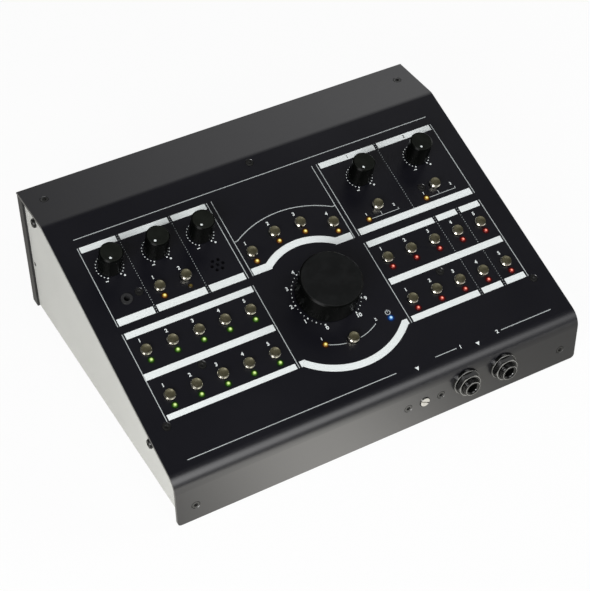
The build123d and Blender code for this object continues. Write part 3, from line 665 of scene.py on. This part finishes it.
end_screw_x = 125.6
panel_screws = [(0, 5.2), (-89.9, 120.3), (72.9, 120.3), (-102.7, 62.5), (93.3, 62.4)]
panel_screws += [(side * end_screw_x, 147.3) for side in (-1, 1)]
lip_screws = [(side * end_screw_x, 12.6) for side in (-1, 1)]
lip_screws += [(preset[0] + side * 11.5, preset[1]) for side in (-1, 1)]
flush_spots = [on_panel(u, v) for u, v in panel_screws] + [on(LIP, x, z) for x, z in lip_screws]
flush_spots += [on(SHELF, side * end_screw_x, y_rear - 16) for side in (-1, 1)]
flush_radius = 2.76
flush_shape = socket_head(flush_radius, rise=0.55, flats=2.4, sink=1.0, edge=0.09)
flush_head = unit("flush_head", lifted(flush_shape, -0.58), radial=flush_radius)
heads = repeat.make("flush_screw_heads", flush_spots, flush_oxide(), slot="screw_black", Unit=flush_head)
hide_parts("flush_screws")

cheek_screws = ((32.6, 38.42), (186.4, 89.0))
pan_spots = [on(side, sign * y, z) for y, z in cheek_screws for side, sign in ((LEFT, -1), (RIGHT, 1))]
pan_spots += [on(UNDER, x, -y, -foot_tall) for x, y in foot_spots]
pan_head = unit("pan_head", socket_head(3.0, rise=2.0, flats=2.0, sink=1.2, crown=0.5))
heads = repeat.make("pan_screw_heads", pan_spots, screw_black, slot="screw_black", Unit=pan_head)
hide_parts("pan_screws")

# -------- indicators

green_spots = [(u, v + led_drop) for v in button_rows for u in left_columns]
red_spots = [(u, v + led_drop) for v in button_rows for u in columns]
upper_leds = upper_row + led_drop
amber_spots = [(talkback_u[0], upper_leds), (-17.0, 137.0)]
amber_spots += [(u, v + led_drop) for u, v in speaker_spots] + [(u - 9.7, upper_leds) for u in phones_u]
dim_spot = (talkback_u[1], upper_leds)
lens_radius, halo_radius = 1.5, 3.1
lens_profile = [(lens_radius, -0.5), (lens_radius, 0.05), (1.42, 0.3), (1.1, 0.58), (0.6, 0.75), (0, 0.8)]
lens = unit("lens", turned(lens_profile, 20), radial=lens_radius)
halo = unit("halo", turned([(halo_radius, 0), (2.6, 0), (2.1, 0), (1.6, 0)], 24), radial=halo_radius)
# Each colour's places, CAD node, and shades: the lens's middle, body and rim, and its light on the paint
indicators = {
    "green": (green_spots, "green_leds", (235, 255, 190), (195, 225, 120), (45, 85, 8), (30, 62, 4)),
    "red": (red_spots, "red_leds", (255, 205, 185), (235, 90, 70), (85, 10, 8), (78, 8, 6)),
    "amber": (amber_spots, "amber_leds", (255, 252, 190), (238, 218, 95), (100, 62, 8), (60, 28, 4)),
    "blue": ([(power_u, 136.6)], "power_led", (225, 250, 255), (150, 210, 245), (20, 70, 135), (4, 38, 90)),
}
for shade, (spots, node, *shades) in indicators.items():
    core, body, edge, spill = (colour(*screen) for screen in shades)
    lit = lit_lens(f"lit_{shade}", core, body, edge, 1.0)
    made = repeat.make(f"{shade}_lenses", [on_panel(u, v) for u, v in spots], lit,
                       slot=f"led_{shade}", Unit=lens)
    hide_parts(node)
    repeat.make(f"{shade}_glow", [on_panel(u, v, 0.05) for u, v in spots],
                glow(f"glow_{shade}", spill, 0.85, 1.8 if shade == "blue" else 0.9), Unit=halo)
# The talkback active lamp is off: its lens gets a faint painted glow
faint = lit_lens("lit_faint", colour(110, 100, 45), colour(80, 68, 25), colour(40, 30, 8), 0.8)
made = repeat.make("faint_lens", [on_panel(*dim_spot)], faint, slot="led_amber", Unit=lens)
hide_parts("amber_leds")

# -------- button caps

latched, released = 2.2, 4.0
caps = {"talkback_mic_button": (talkback_u[0], upper_row, latched),
        "talkback_active_button": (talkback_u[1], upper_row, released),
        "level_button": (0.0, level_v, released)}
for side, rows in ((left_columns, ("cue_source", "main_source")), (columns, ("mix_upper", "mix_lower"))):
    for i, u in enumerate(side, start=1):
        for row, v in zip(rows, button_rows):
            caps[f"{row}_button_{i}"] = (u, v, latched)
for i, (u, v) in enumerate(speaker_spots, start=1):
    caps[f"speaker_button_{i}"] = (u, v, latched)
for i, u in enumerate(phones_u, start=1):
    caps[f"phones_source_button_{i}"] = (u, upper_row, released)

# Deeply dished top in a raised rim, a skirt that flares to the foot, the stem in its hole, and the plunger
cap_foot = 3.65
cap_profile = [(0, -7.5), (3.2, -7.5), (3.2, -1.58), (3.58, -1.56), (cap_foot, -1.48), (3.62, -1.36),
               (3.52, -1.22), (3.38, -1.06), (3.24, -0.92), (3.15, -0.76), (3.1, -0.5), (3.08, -0.14),
               (2.98, 0.0), (2.86, -0.03), (2.7, -0.14), (2.3, -0.42), (1.9, -0.62), (1.4, -0.8),
               (0.9, -0.91), (0.45, -0.96), (0, -0.98)]
plunger = lifted(block(3.0, 3.0, 6.8), -14.3)
cap = unit("button_cap", joined(turned(cap_profile, 32), plunger), radial=cap_foot)
for name, (u, v, top) in caps.items():
    made = repeat.make(f"{name}_cap", [on_panel(u, v, top)], button_metal,
                       body=name, slot="button_metal", Unit=cap)
    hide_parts(name)

# -------- jacks

nut_bore, nut_flats = 5.6, 15.0
front_nut_top, rear_nut_top = 5.5, 2.0
flange_radius, flange_top, flange_bevel = 9.0, 2.0, 0.35


def nut_shape(top, flanged=False):
    """A hexagon nut with its corners turned off, with or without a round flange under it."""
    segments = 72
    points, rings, faces = [], [], []
    turned_off = nut_flats / 2 * 0.97
    flange = [(flange_radius, 0.0), (flange_radius, flange_top - flange_bevel),
              (flange_radius - flange_bevel, flange_top)] if flanged else []
    for i in range(segments):
        angle = tau * i / segments
        out = hexagon(nut_flats, angle)
        profile = flange + [
            (out, flange_top if flanged else 0.0), (out, top - (out - turned_off) * 0.6), (turned_off, top),
            (nut_bore + 0.3, top), (nut_bore, top - 0.3), (nut_bore, 0.0)]
        rings.append([len(points) + k for k in range(len(profile))])
        points += [polar(r, angle, z) for r, z in profile]
    for here, there in zip(rings, rings[1:] + rings[:1]):
        for k in range(len(here) - 1):
            faces.append([here[k], there[k], there[k + 1], here[k + 1]])
    return points, faces


def nut_edge(radius, level):
    """The edges of the front nut that get a painted highlight: round its face, and round its flange."""
    face = abs(level - front_nut_top) < 0.01 and radius > 7.0
    return face or (abs(level - flange_top) < 0.01 and abs(radius - (flange_radius - flange_bevel)) < 0.005)


nut_black = rubbed_black("nut_black")
front_jacks = [on(LIP, x, jack_z) for x in jack_x]
front_nut = unit("front_nut", nut_shape(front_nut_top, flanged=True), worn=nut_edge)
made = repeat.make("front_jack_nuts", front_jacks, nut_black, slot="nut_black", Unit=front_nut)
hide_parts("jack_nuts")
rear_nut = unit("rear_nut", nut_shape(rear_nut_top))
made = repeat.make("rear_jack_nuts", [on(BACK, -x, z, turn=18 * i) for i, (x, z) in enumerate(rear_jacks)],
                   nut_black, slot="nut_black", Unit=rear_nut)
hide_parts("jack_nuts")


def barrel(proud, bore_length):
    """A jack's barrel with a rounded mouth and a deep bore."""
    return turned([(5.25, -3.0), (5.25, proud - 0.3), (4.9, proud), (4.0, proud), (3.6, proud - 0.25),
                   (3.2, proud - 0.8), (3.2, proud - bore_length), (0, proud - bore_length)], 40)


def barrel_edge(radius, level):
    """The edge of the front barrel's mouth, which gets a painted highlight."""
    return level > 8.4 and radius > 4.5


front_barrel = unit("front_barrel", barrel(proud=8.5, bore_length=25.0), worn=barrel_edge)
rear_barrel = unit("rear_barrel", barrel(proud=2.5, bore_length=19.0))
made = repeat.make("front_jack_barrels", front_jacks, rubbed_black("barrel_black"), slot="jack_black",
                   Unit=front_barrel)
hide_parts("jack_sockets")
made = repeat.make("rear_jack_barrels", [on(BACK, -x, z) for x, z in rear_jacks], jack_plastic,
                   slot="jack_black", Unit=rear_barrel)
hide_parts("jack_sockets")
thread.make("front_jack_threads", [on(LIP, x, jack_z, 5.1) for x in jack_x], jack_plastic, slot="jack_black",
            Turns=3.8, Climb=2.9 * MM, Radius=5.2 * MM, Ridge=0.34 * MM)

# Thin black ring round the slotted preset shaft, as painted shade in the gap round it
gap_shade_ring = turned([(3.62, 0.0), (3.62, 0.12), (3.5, 0.2), (3.12, 0.2), (3.04, 0.1), (3.04, -0.6)], 40)
piece("preset_bush", moved(gap_shade_ring, on(LIP, *preset)), jack_plastic, smooth=True)

# -------- printed legend

line_width, print_lift = 0.5, 0.03


class Legend:
    """Flat printed marks on one side of the console, gathered into one mesh."""

    def __init__(self, side, lift):
        self.side, self.lift = side, lift
        self.points, self.faces = [], []

    def shape(self, outline):
        """One filled shape, from its corners in millimetres."""
        area = sum(a[0] * b[1] - b[0] * a[1] for a, b in zip(outline, outline[1:] + outline[:1]))
        corners = outline if area > 0 else outline[::-1]
        start = len(self.points)
        self.points += [self.side @ (Vector((x, y, self.lift)) * MM) for x, y in corners]
        self.faces.append(list(range(start, len(self.points))))

    def bar(self, left, right, top, bottom):
        """An upright rectangle."""
        self.shape([(left, -bottom), (right, -bottom), (right, -top), (left, -top)])

    def strip(self, middle, wide=line_width):
        """A line of even width along points given as (u, v)."""
        left, right = [], []
        for i, (u, v) in enumerate(middle):
            before, after = middle[max(i - 1, 0)], middle[min(i + 1, len(middle) - 1)]
            du, dv = after[0] - before[0], after[1] - before[1]
            length = sqrt(du * du + dv * dv)
            nu, nv = -dv / length * wide / 2, du / length * wide / 2
            left.append((u + nu, -(v + nv)))
            right.append((u - nu, -(v - nv)))
        for i in range(len(middle) - 1):
            self.shape([left[i], left[i + 1], right[i + 1], right[i]])

    def text(self, words, u, v, size):
        """Plain numerals, centred on (u, v)."""
        curve = bpy.data.curves.new("numerals", "FONT")
        curve.body = words
        curve.size = size
        curve.align_x, curve.align_y = "CENTER", "CENTER"
        curve.offset = 0.03 * size
        curve.resolution_u = 3
        mesh = final_mesh(placed("numerals_work", curve))
        for face in mesh.polygons:
            corners = [mesh.vertices[i].co for i in face.vertices]
            self.shape([(u + p.x, p.y - v) for p in corners])
        bpy.data.meshes.remove(mesh)

    def make(self, name, finish):
        """The marks as one piece."""
        piece(name, (self.points, self.faces), finish)


def about(u, v, radius, angle):
    """The place at a radius from (u, v), at an angle in degrees clockwise from up the slope."""
    return u + radius * sin(radians(angle)), v - radius * cos(radians(angle))


def arc(u, v, radius, start, stop, steps):
    """Points on an arc about (u, v)."""
    return [about(u, v, radius, start + (stop - start) * i / steps) for i in range(steps + 1)]


def bar_row(spans, top, bottom):
    """Wide bars side by side across the slope."""
    for left, right in spans:
        bars.bar(left, right, top, bottom)


def uprights(places, top, bottom):
    """Thin lines down the slope."""
    for u in places:
        lines.bar(u - line_width / 2, u + line_width / 2, top, bottom)


def collar(inner, outer, wing, middle, steps):
    """A wide band round the large knob that runs out into a flat wing at each side.

    Its inner and outer edges are (radius, how far aside the wing meets it, the v of that place). The wing is
    (how far aside it starts, and where it ends). The band's middle is an angle round the knob.
    """
    edges = []
    for radius, aside, v in (inner, outer):
        half = degrees(atan2(aside, abs(v - master_v)))
        edges.append(arc(0.0, master_v, radius, middle - half, middle + half, steps))
    for i in range(steps):
        bars.shape([(u, -v) for u, v in (edges[0][i], edges[0][i + 1], edges[1][i + 1], edges[1][i])])
    start, end = wing
    for side in (-1, 1):
        bars.shape([(side * end, -inner[2]), (side * start, -inner[2]),
                    (side * outer[1], -outer[2]), (side * end, -outer[2])])


bars = Legend(PANEL, print_lift)
lines = Legend(PANEL, print_lift)

# Upper left box, in three parts
left_sides = (-124.0, -38.5)
top_bar, talkback_bar, phones_bar = (22.0, 26.1), (74.4, 79.2), (74.2, 78.8)
talkback_parts = ((-122.9, -99.6), (-97.4, -65.4), (-63.1, -39.8))
bar_row(talkback_parts, *top_bar)
bar_row(talkback_parts, *talkback_bar)
uprights(left_sides, top_bar[0], talkback_bar[1])

# Headphones box, in two parts over one lower bar
bar_row(((40.0, 80.0), (82.3, 122.1)), *top_bar)
bar_row([(40.0, 122.1)], *phones_bar)
uprights((38.6, 123.5), top_bar[0], phones_bar[1])

# Source box
bar_row([(-122.7, -39.8)], 84.6, 88.7)
bar_row([(-124.3, -39.8)], 112.7, 117.1)
bar_row([(-122.7, -39.8)], 141.0, 144.6)
uprights(left_sides, 84.6, 144.6)

# Mix box, in three parts over and under one middle bar
mix_parts = ((40.1, 88.1), (90.7, 105.0), (107.7, 121.9))
bar_row(mix_parts, 84.3, 88.4)
bar_row([(40.1, 121.9)], 112.5, 116.9)
bar_row(mix_parts, 140.5, 144.6)
uprights((38.6, 123.3), 84.3, 144.6)

# Middle box: the arc over the speaker buttons, the band over the large knob, and the volume band below it
uprights((-35.3, 35.3), top_bar[0], 79.0)
crest_v, flat_v, arc_reach = 44.3, 53.5, 33.0
rise = flat_v - crest_v
speaker_radius = (arc_reach**2 + rise**2) / (2 * rise)
half_turn = degrees(atan2(arc_reach, speaker_radius - rise))
speaker_arc = arc(0.0, crest_v + speaker_radius, speaker_radius, -half_turn, half_turn, 30)
lines.strip([(-35.0, flat_v), *speaker_arc, (35.0, flat_v)], 0.55)
collar((36.0, 22.0, 78.9), (40.6, 23.8, 74.1), (22.0, 34.5), 0, 40)
collar((47.8, 33.4, 140.8), (52.2, 35.6, 144.6), (33.2, 37.0), 180, 44)

# Level arc, broken round its button
level_arc_radius = 34.6
lines.strip(arc(0.0, master_v, level_arc_radius, 208, 188, 10))
lines.strip(arc(0.0, master_v, level_arc_radius, 172, 149, 12))

# Thin lines above and below everything, the lower one broken over the lip's own controls
line_end = 123.7
lines.bar(-line_end, line_end, 15.6, 16.1)
for left, right in ((-line_end, 12.8), (40.0, 55.0), (87.0, line_end)):
    lines.bar(left, right, 170.1, 170.6)
preset_arrow, jacks_arrow = 26.2, 69.0
for u in (preset_arrow, jacks_arrow):
    bars.shape([(u - 1.4, -171.6), (u, -174.0), (u + 1.4, -171.6)])

# Lines from each headphone channel's source button to its two sources
for u in phones_u:
    lines.bar(u - 7.6, u + 12.0, 70.6, 71.0)
    lines.bar(u + 11.6, u + 12.0, 69.4, 71.0)
    lines.bar(u - 0.2, u + 0.2, 68.0, 71.0)

# Power sign above the blue lamp
lines.strip(arc(power_u, 132.6, 1.5, 25, 335, 20))
uprights([power_u], 130.6, 132.6)

lines.make("printed_lines", line_ink)
bars.make("printed_bars", print_ink)

marks = Legend(PANEL, print_lift)
for row in (left_columns, columns):
    for i, u in enumerate(row, start=1):
        for v in button_rows:
            marks.text(str(i), u - 0.9, v - 6.9, 3.3)
for spots in (speaker_spots, [(u, upper_row) for u in talkback_u]):
    for i, (u, v) in enumerate(spots, start=1):
        marks.text(str(i), u - 1.2, v - 6.8, 3.3)
for u in phones_u:
    marks.text("1", u - 9.7, 66.8, 2.6)
    marks.text("2", u + 10.3, 66.8, 2.6)
for words, u, v, size in (("1", -17.4, 132.9, 2.6), ("2", 19.2, 134.0, 2.6),
                          ("1", 57.8, 170.4, 3.3), ("2", 84.2, 170.4, 3.3)):
    marks.text(words, u, v, size)
dial_start = -150.0
end_nudge = {0: 1.4, 10: -0.6}
for i in range(11):
    u, v = about(0.0, master_v, 23.9, dial_start + 30 * i)
    marks.text(str(i), u + end_nudge.get(i, 0.0), v, 3.6)
for u in small_dials.values():
    marks.bar(u - 6.4, u - 4.6, dial_v + 8.7, dial_v + 9.3)
marks.make("printed_numerals", print_ink)

numbers = Legend(PANEL, 2 * print_lift)
for i, u in enumerate(phones_u, start=1):
    numbers.text(str(i), u, 24.1, 3.0)
numbers.make("bar_numerals", dark_ink)

# Dots round the dials and down the dividers
dial_spots, dial_sizes = [], []
for u in small_dials.values():
    for i in range(21):
        dial_spots.append(on_panel(*about(u, dial_v, 8.3, dial_start + 15 * i), print_lift))
        dial_sizes.append(1.2 if i in (0, 20) else 0.92)
    dial_spots.append(on_panel(u + 5.9, dial_v + 8.9, print_lift))
    dial_sizes.append(1.6)
for i in range(41):
    dial_spots.append(on_panel(*about(0.0, master_v, 21.3, dial_start + 7.5 * i), print_lift))
    dial_sizes.append(1.35 if i % 4 == 0 else 1.0 if i % 2 == 0 else 0.7)
dots.make("dial_dots", dial_spots, print_ink, sizes=dial_sizes, Radius=0.4 * MM, Corners=12)
dot_pitch = 1.75
middle_bar_top, middle_bar_foot = 111.8, 117.6
divider_spots = []
for u, top, bottom in ((-98.5, 22.3, 79.0), (-64.2, 22.3, 79.0), (81.1, 22.3, 73.5),
                       (89.4, 84.5, 144.4), (106.4, 84.5, 144.4)):
    count = int((bottom - top) / dot_pitch)
    for i in range(count + 1):
        v = top + (bottom - top) * i / count
        if not middle_bar_top < v < middle_bar_foot:
            divider_spots.append(on_panel(u, v, print_lift))
dots.make("divider_dots", divider_spots, line_ink, Radius=0.27 * MM, Corners=8)

# -------- knob marks

knob_dot = turned([(0.78, 0), (0, 0)], 20)
for key, u in small_dials.items():
    place = on_panel(*about(u, dial_v, 4.3, knob_angles[key]), small_knob_top - 0.12)
    piece(f"{key}_knob_dot", moved(knob_dot, place), print_ink, body=f"{key}_knob")

# -------- rear sockets

contact_spots = [(5.0 * cos(radians(90 + 120 * k)), 5.0 * sin(radians(90 + 120 * k))) for k in range(3)]


def insert_face(outer, hole):
    """A black socket face with its contact holes left open."""
    made = bmesh.new()
    edges = []
    for x, y, radius, corners in [(0.0, 0.0, outer, 48)] + [(x, y, hole, 16) for x, y in contact_spots]:
        turns = [tau * i / corners for i in range(corners)]
        ring = [made.verts.new(Vector((x + radius * cos(a), y + radius * sin(a), 0)) * MM) for a in turns]
        edges += [made.edges.new(pair) for pair in zip(ring, ring[1:] + ring[:1])]
    bmesh.ops.triangle_fill(made, edges=edges, use_beauty=True, normal=(0, 0, 1))
    made.normal_update()
    made.verts.index_update()
    points = [v.co.copy() for v in made.verts]
    faces = [[v.index for v in (f.verts if f.normal.z > 0 else reversed(f.verts))] for f in made.faces]
    made.free()
    return points, faces


input_face = unit("input_face", insert_face(7.65, 1.4), smooth=False)
repeat.make("input_faces", [on(BACK, -x, z, 0.55) for x, z in inputs], jack_plastic, Unit=input_face)
cup_level = shell_proud - cup_depth
cup_floor = unit("cup_floor", insert_face(9.35, 1.25), smooth=False)
repeat.make("output_cup_floors", [on(BACK, -x, z, cup_level + 0.05) for x, z in outputs], jack_plastic,
            Unit=cup_floor)
pin = unit("pin", turned([(1.24, 0), (1.24, 11.4), (0.9, 12.03), (0, 12.06)], 16))
pin_spots = [on(BACK, -x + px, z + py, cup_level) for x, z in outputs for px, py in contact_spots]
repeat.make("output_pins", pin_spots, gold_plate, Unit=pin)
socket_screw = unit("socket_screw", socket_head(2.4, rise=0.5, flats=1.8, sink=0.45))
screw_spots = [on(BACK, -x + side * 9.5, z - side * 12.0, shell_proud - 0.05)
               for x, z in inputs + outputs for side in (-1, 1)]
repeat.make("socket_screws", screw_spots, black_oxide, slot="screw_black", Unit=socket_screw)
latch = unit("latch", block(5.0, 2.6, 0.45))
repeat.make("input_latches", [on(BACK, -x, z + 11.6, shell_proud) for x, z in inputs], nickel,
            slot="socket_metal", Unit=latch)

# Bright blades of the mains inlet
blade = unit("blade", block(2.04, 4.04, 11.02, 0.25))
blade_spots = [on(BACK, -inlet[0] + x, inlet[1] - 12.5 + z, inlet_proud - inlet_depth)
               for x, z in ((-7, -2), (0, 2), (7, -2))]
repeat.make("inlet_blades", blade_spots, bright_steel, Unit=blade)

# -------- dark holes and their painted shade

# Flat black rings round the microphone holes: painted shade at their edges
hole_rim = unit("hole_rim", turned([(1.08, 0.0), (0.76, 0.0)], 20))
rim_spots = [(0.0, 0.0)] + [(3.6 * cos(k * pi / 3), 3.6 * sin(k * pi / 3)) for k in range(6)]
repeat.make("microphone_rims", [on_panel(microphone[0] + x, microphone[1] + y, 0.02) for x, y in rim_spots],
            hole_black, Unit=hole_rim)
# A black cup in each cheek hole: painted shade inside it
hole_shade_cup = unit("cheek_hole", turned([(1.45, 0.02), (1.18, 0.02), (1.18, -1.2), (0, -1.2)], 20))
hole_shade_spots = [on(side, sign * cheek_hole[0], cheek_hole[1]) for side, sign in ((LEFT, -1), (RIGHT, 1))]
repeat.make("cheek_hole_linings", hole_shade_spots, hole_black, Unit=hole_shade_cup)
gauze = turned([(4.7, 0), (0, 0)], 24)
piece("microphone_gauze", moved(gauze, on_panel(*microphone, -2.25)), switch_plastic)

# -------- floor, lights and camera


def studio_floor():
    """White table: plain white to the camera and a pool of light to gloss, with the console's soft shadow."""
    f = Finish("studio_floor")
    seen = f.ray("Camera")
    direct = seen.math("MAXIMUM", f.ray("Glossy")).math("MAXIMUM", f.ray("Transmission"))
    pool_middle, pool_reach = -40.0, 85.0
    right = f.along(1, 0, 0)
    off_pool = (right - pool_middle) / pool_reach
    pool = (off_pool * off_pool * -1.0).math("EXPONENT")
    gloss = f.mix((0.33, 0.325, 0.30, 1), (1.65, 1.62, 1.52, 1), pool)
    # Far to the right, gloss sees painted light again
    gloss = f.mix(gloss, (1.3, 1.3, 1.28, 1), right.ramp(260.0, 480.0))
    paper = f.node("ShaderNodeBsdfDiffuse", inputs={"Color": grey(0.86)})
    shown = f.mix(gloss, grey(1), seen)
    white = f.node("ShaderNodeEmission", inputs={"Color": shown, "Strength": 1.0})
    return f.close(f.node("ShaderNodeMixShader", inputs=(direct * 0.94, paper, white)))


floor_reach = 6.0
corners = [(x * floor_reach, y * floor_reach, 0) for x, y in ((-1, -1), (1, -1), (1, 1), (-1, 1))]
mesh = mesh_of("studio_floor", (corners, [(0, 1, 2, 3)]), smooth=False)
mesh.materials.append(studio_floor())
floor = placed("studio_floor", mesh)

# The room: a ring of light above a darker horizon, one patch for the shelf and one for the front fold
world = bpy.data.worlds.new("studio")
scene.world = world
world.use_nodes = True
sky = Graph(world.node_tree)
direction = sky.node("ShaderNodeTexCoord", output="Generated")
upward = sky.node("ShaderNodeSeparateXYZ", inputs=(direction,), output="Z")
level = upward.ramp(0.45, 0.8, 0.21, 0.008) * upward.ramp(0.0, 0.42, 0.15, 1.0)
level += sky.dot(direction, (0.55, 0.55, 0.63)).ramp(0.89, 1.0, 0.0, 0.72)
level += sky.dot(direction, (0.15, -0.75, 0.64)).ramp(0.90, 0.98, 0.0, 2.3)
studio_light = sky.node("ShaderNodeBackground", inputs={"Strength": level})
backdrop = sky.node("ShaderNodeBackground", inputs={"Strength": 1.0})
both = sky.node("ShaderNodeMixShader", inputs=(sky.ray("Camera"), studio_light, backdrop))
sky.node("ShaderNodeOutputWorld", inputs={"Surface": both})


def lamp(name, place, aim, size, watts, shine=True):
    """A soft box, in metres, aimed at a point. Without shine it leaves no highlight of its own."""
    data = bpy.data.lights.new(name, "AREA")
    data.shape, data.size, data.energy = "SQUARE", size, watts
    made = placed(name, data)
    made.location = place
    made.rotation_euler = (Vector(aim) - Vector(place)).to_track_quat("-Z", "Y").to_euler()
    made.visible_glossy = shine


lamp("key", (-0.95, -0.85, 0.6), (0, 0, 0.05), 0.7, 20.0)
lamp("fill", (1.15, -0.3, 0.5), (0, 0, 0.05), 0.8, 10.0, shine=False)

# The focal length and the render's longer side are in pixels
focal_length, render_side, sensor_width = 1611.83, 591, 36.0
eye = (-361.5, -650.23, 704.51)
axes = Matrix(((0.87158, -0.49012, -0.01087), (0.33501, 0.57927, 0.74311), (-0.35792, -0.65132, 0.66908)))
camera_data = bpy.data.cameras.new("camera")
camera_data.sensor_width = sensor_width
camera_data.lens = focal_length / render_side * sensor_width
camera_data.clip_start, camera_data.clip_end = 0.01, 20.0
camera = placed("camera", camera_data)
camera.matrix_world = Matrix.Translation(Vector(eye) * MM) @ axes.transposed().to_4x4()
scene.camera = camera
scene.view_settings.view_transform = "Standard"
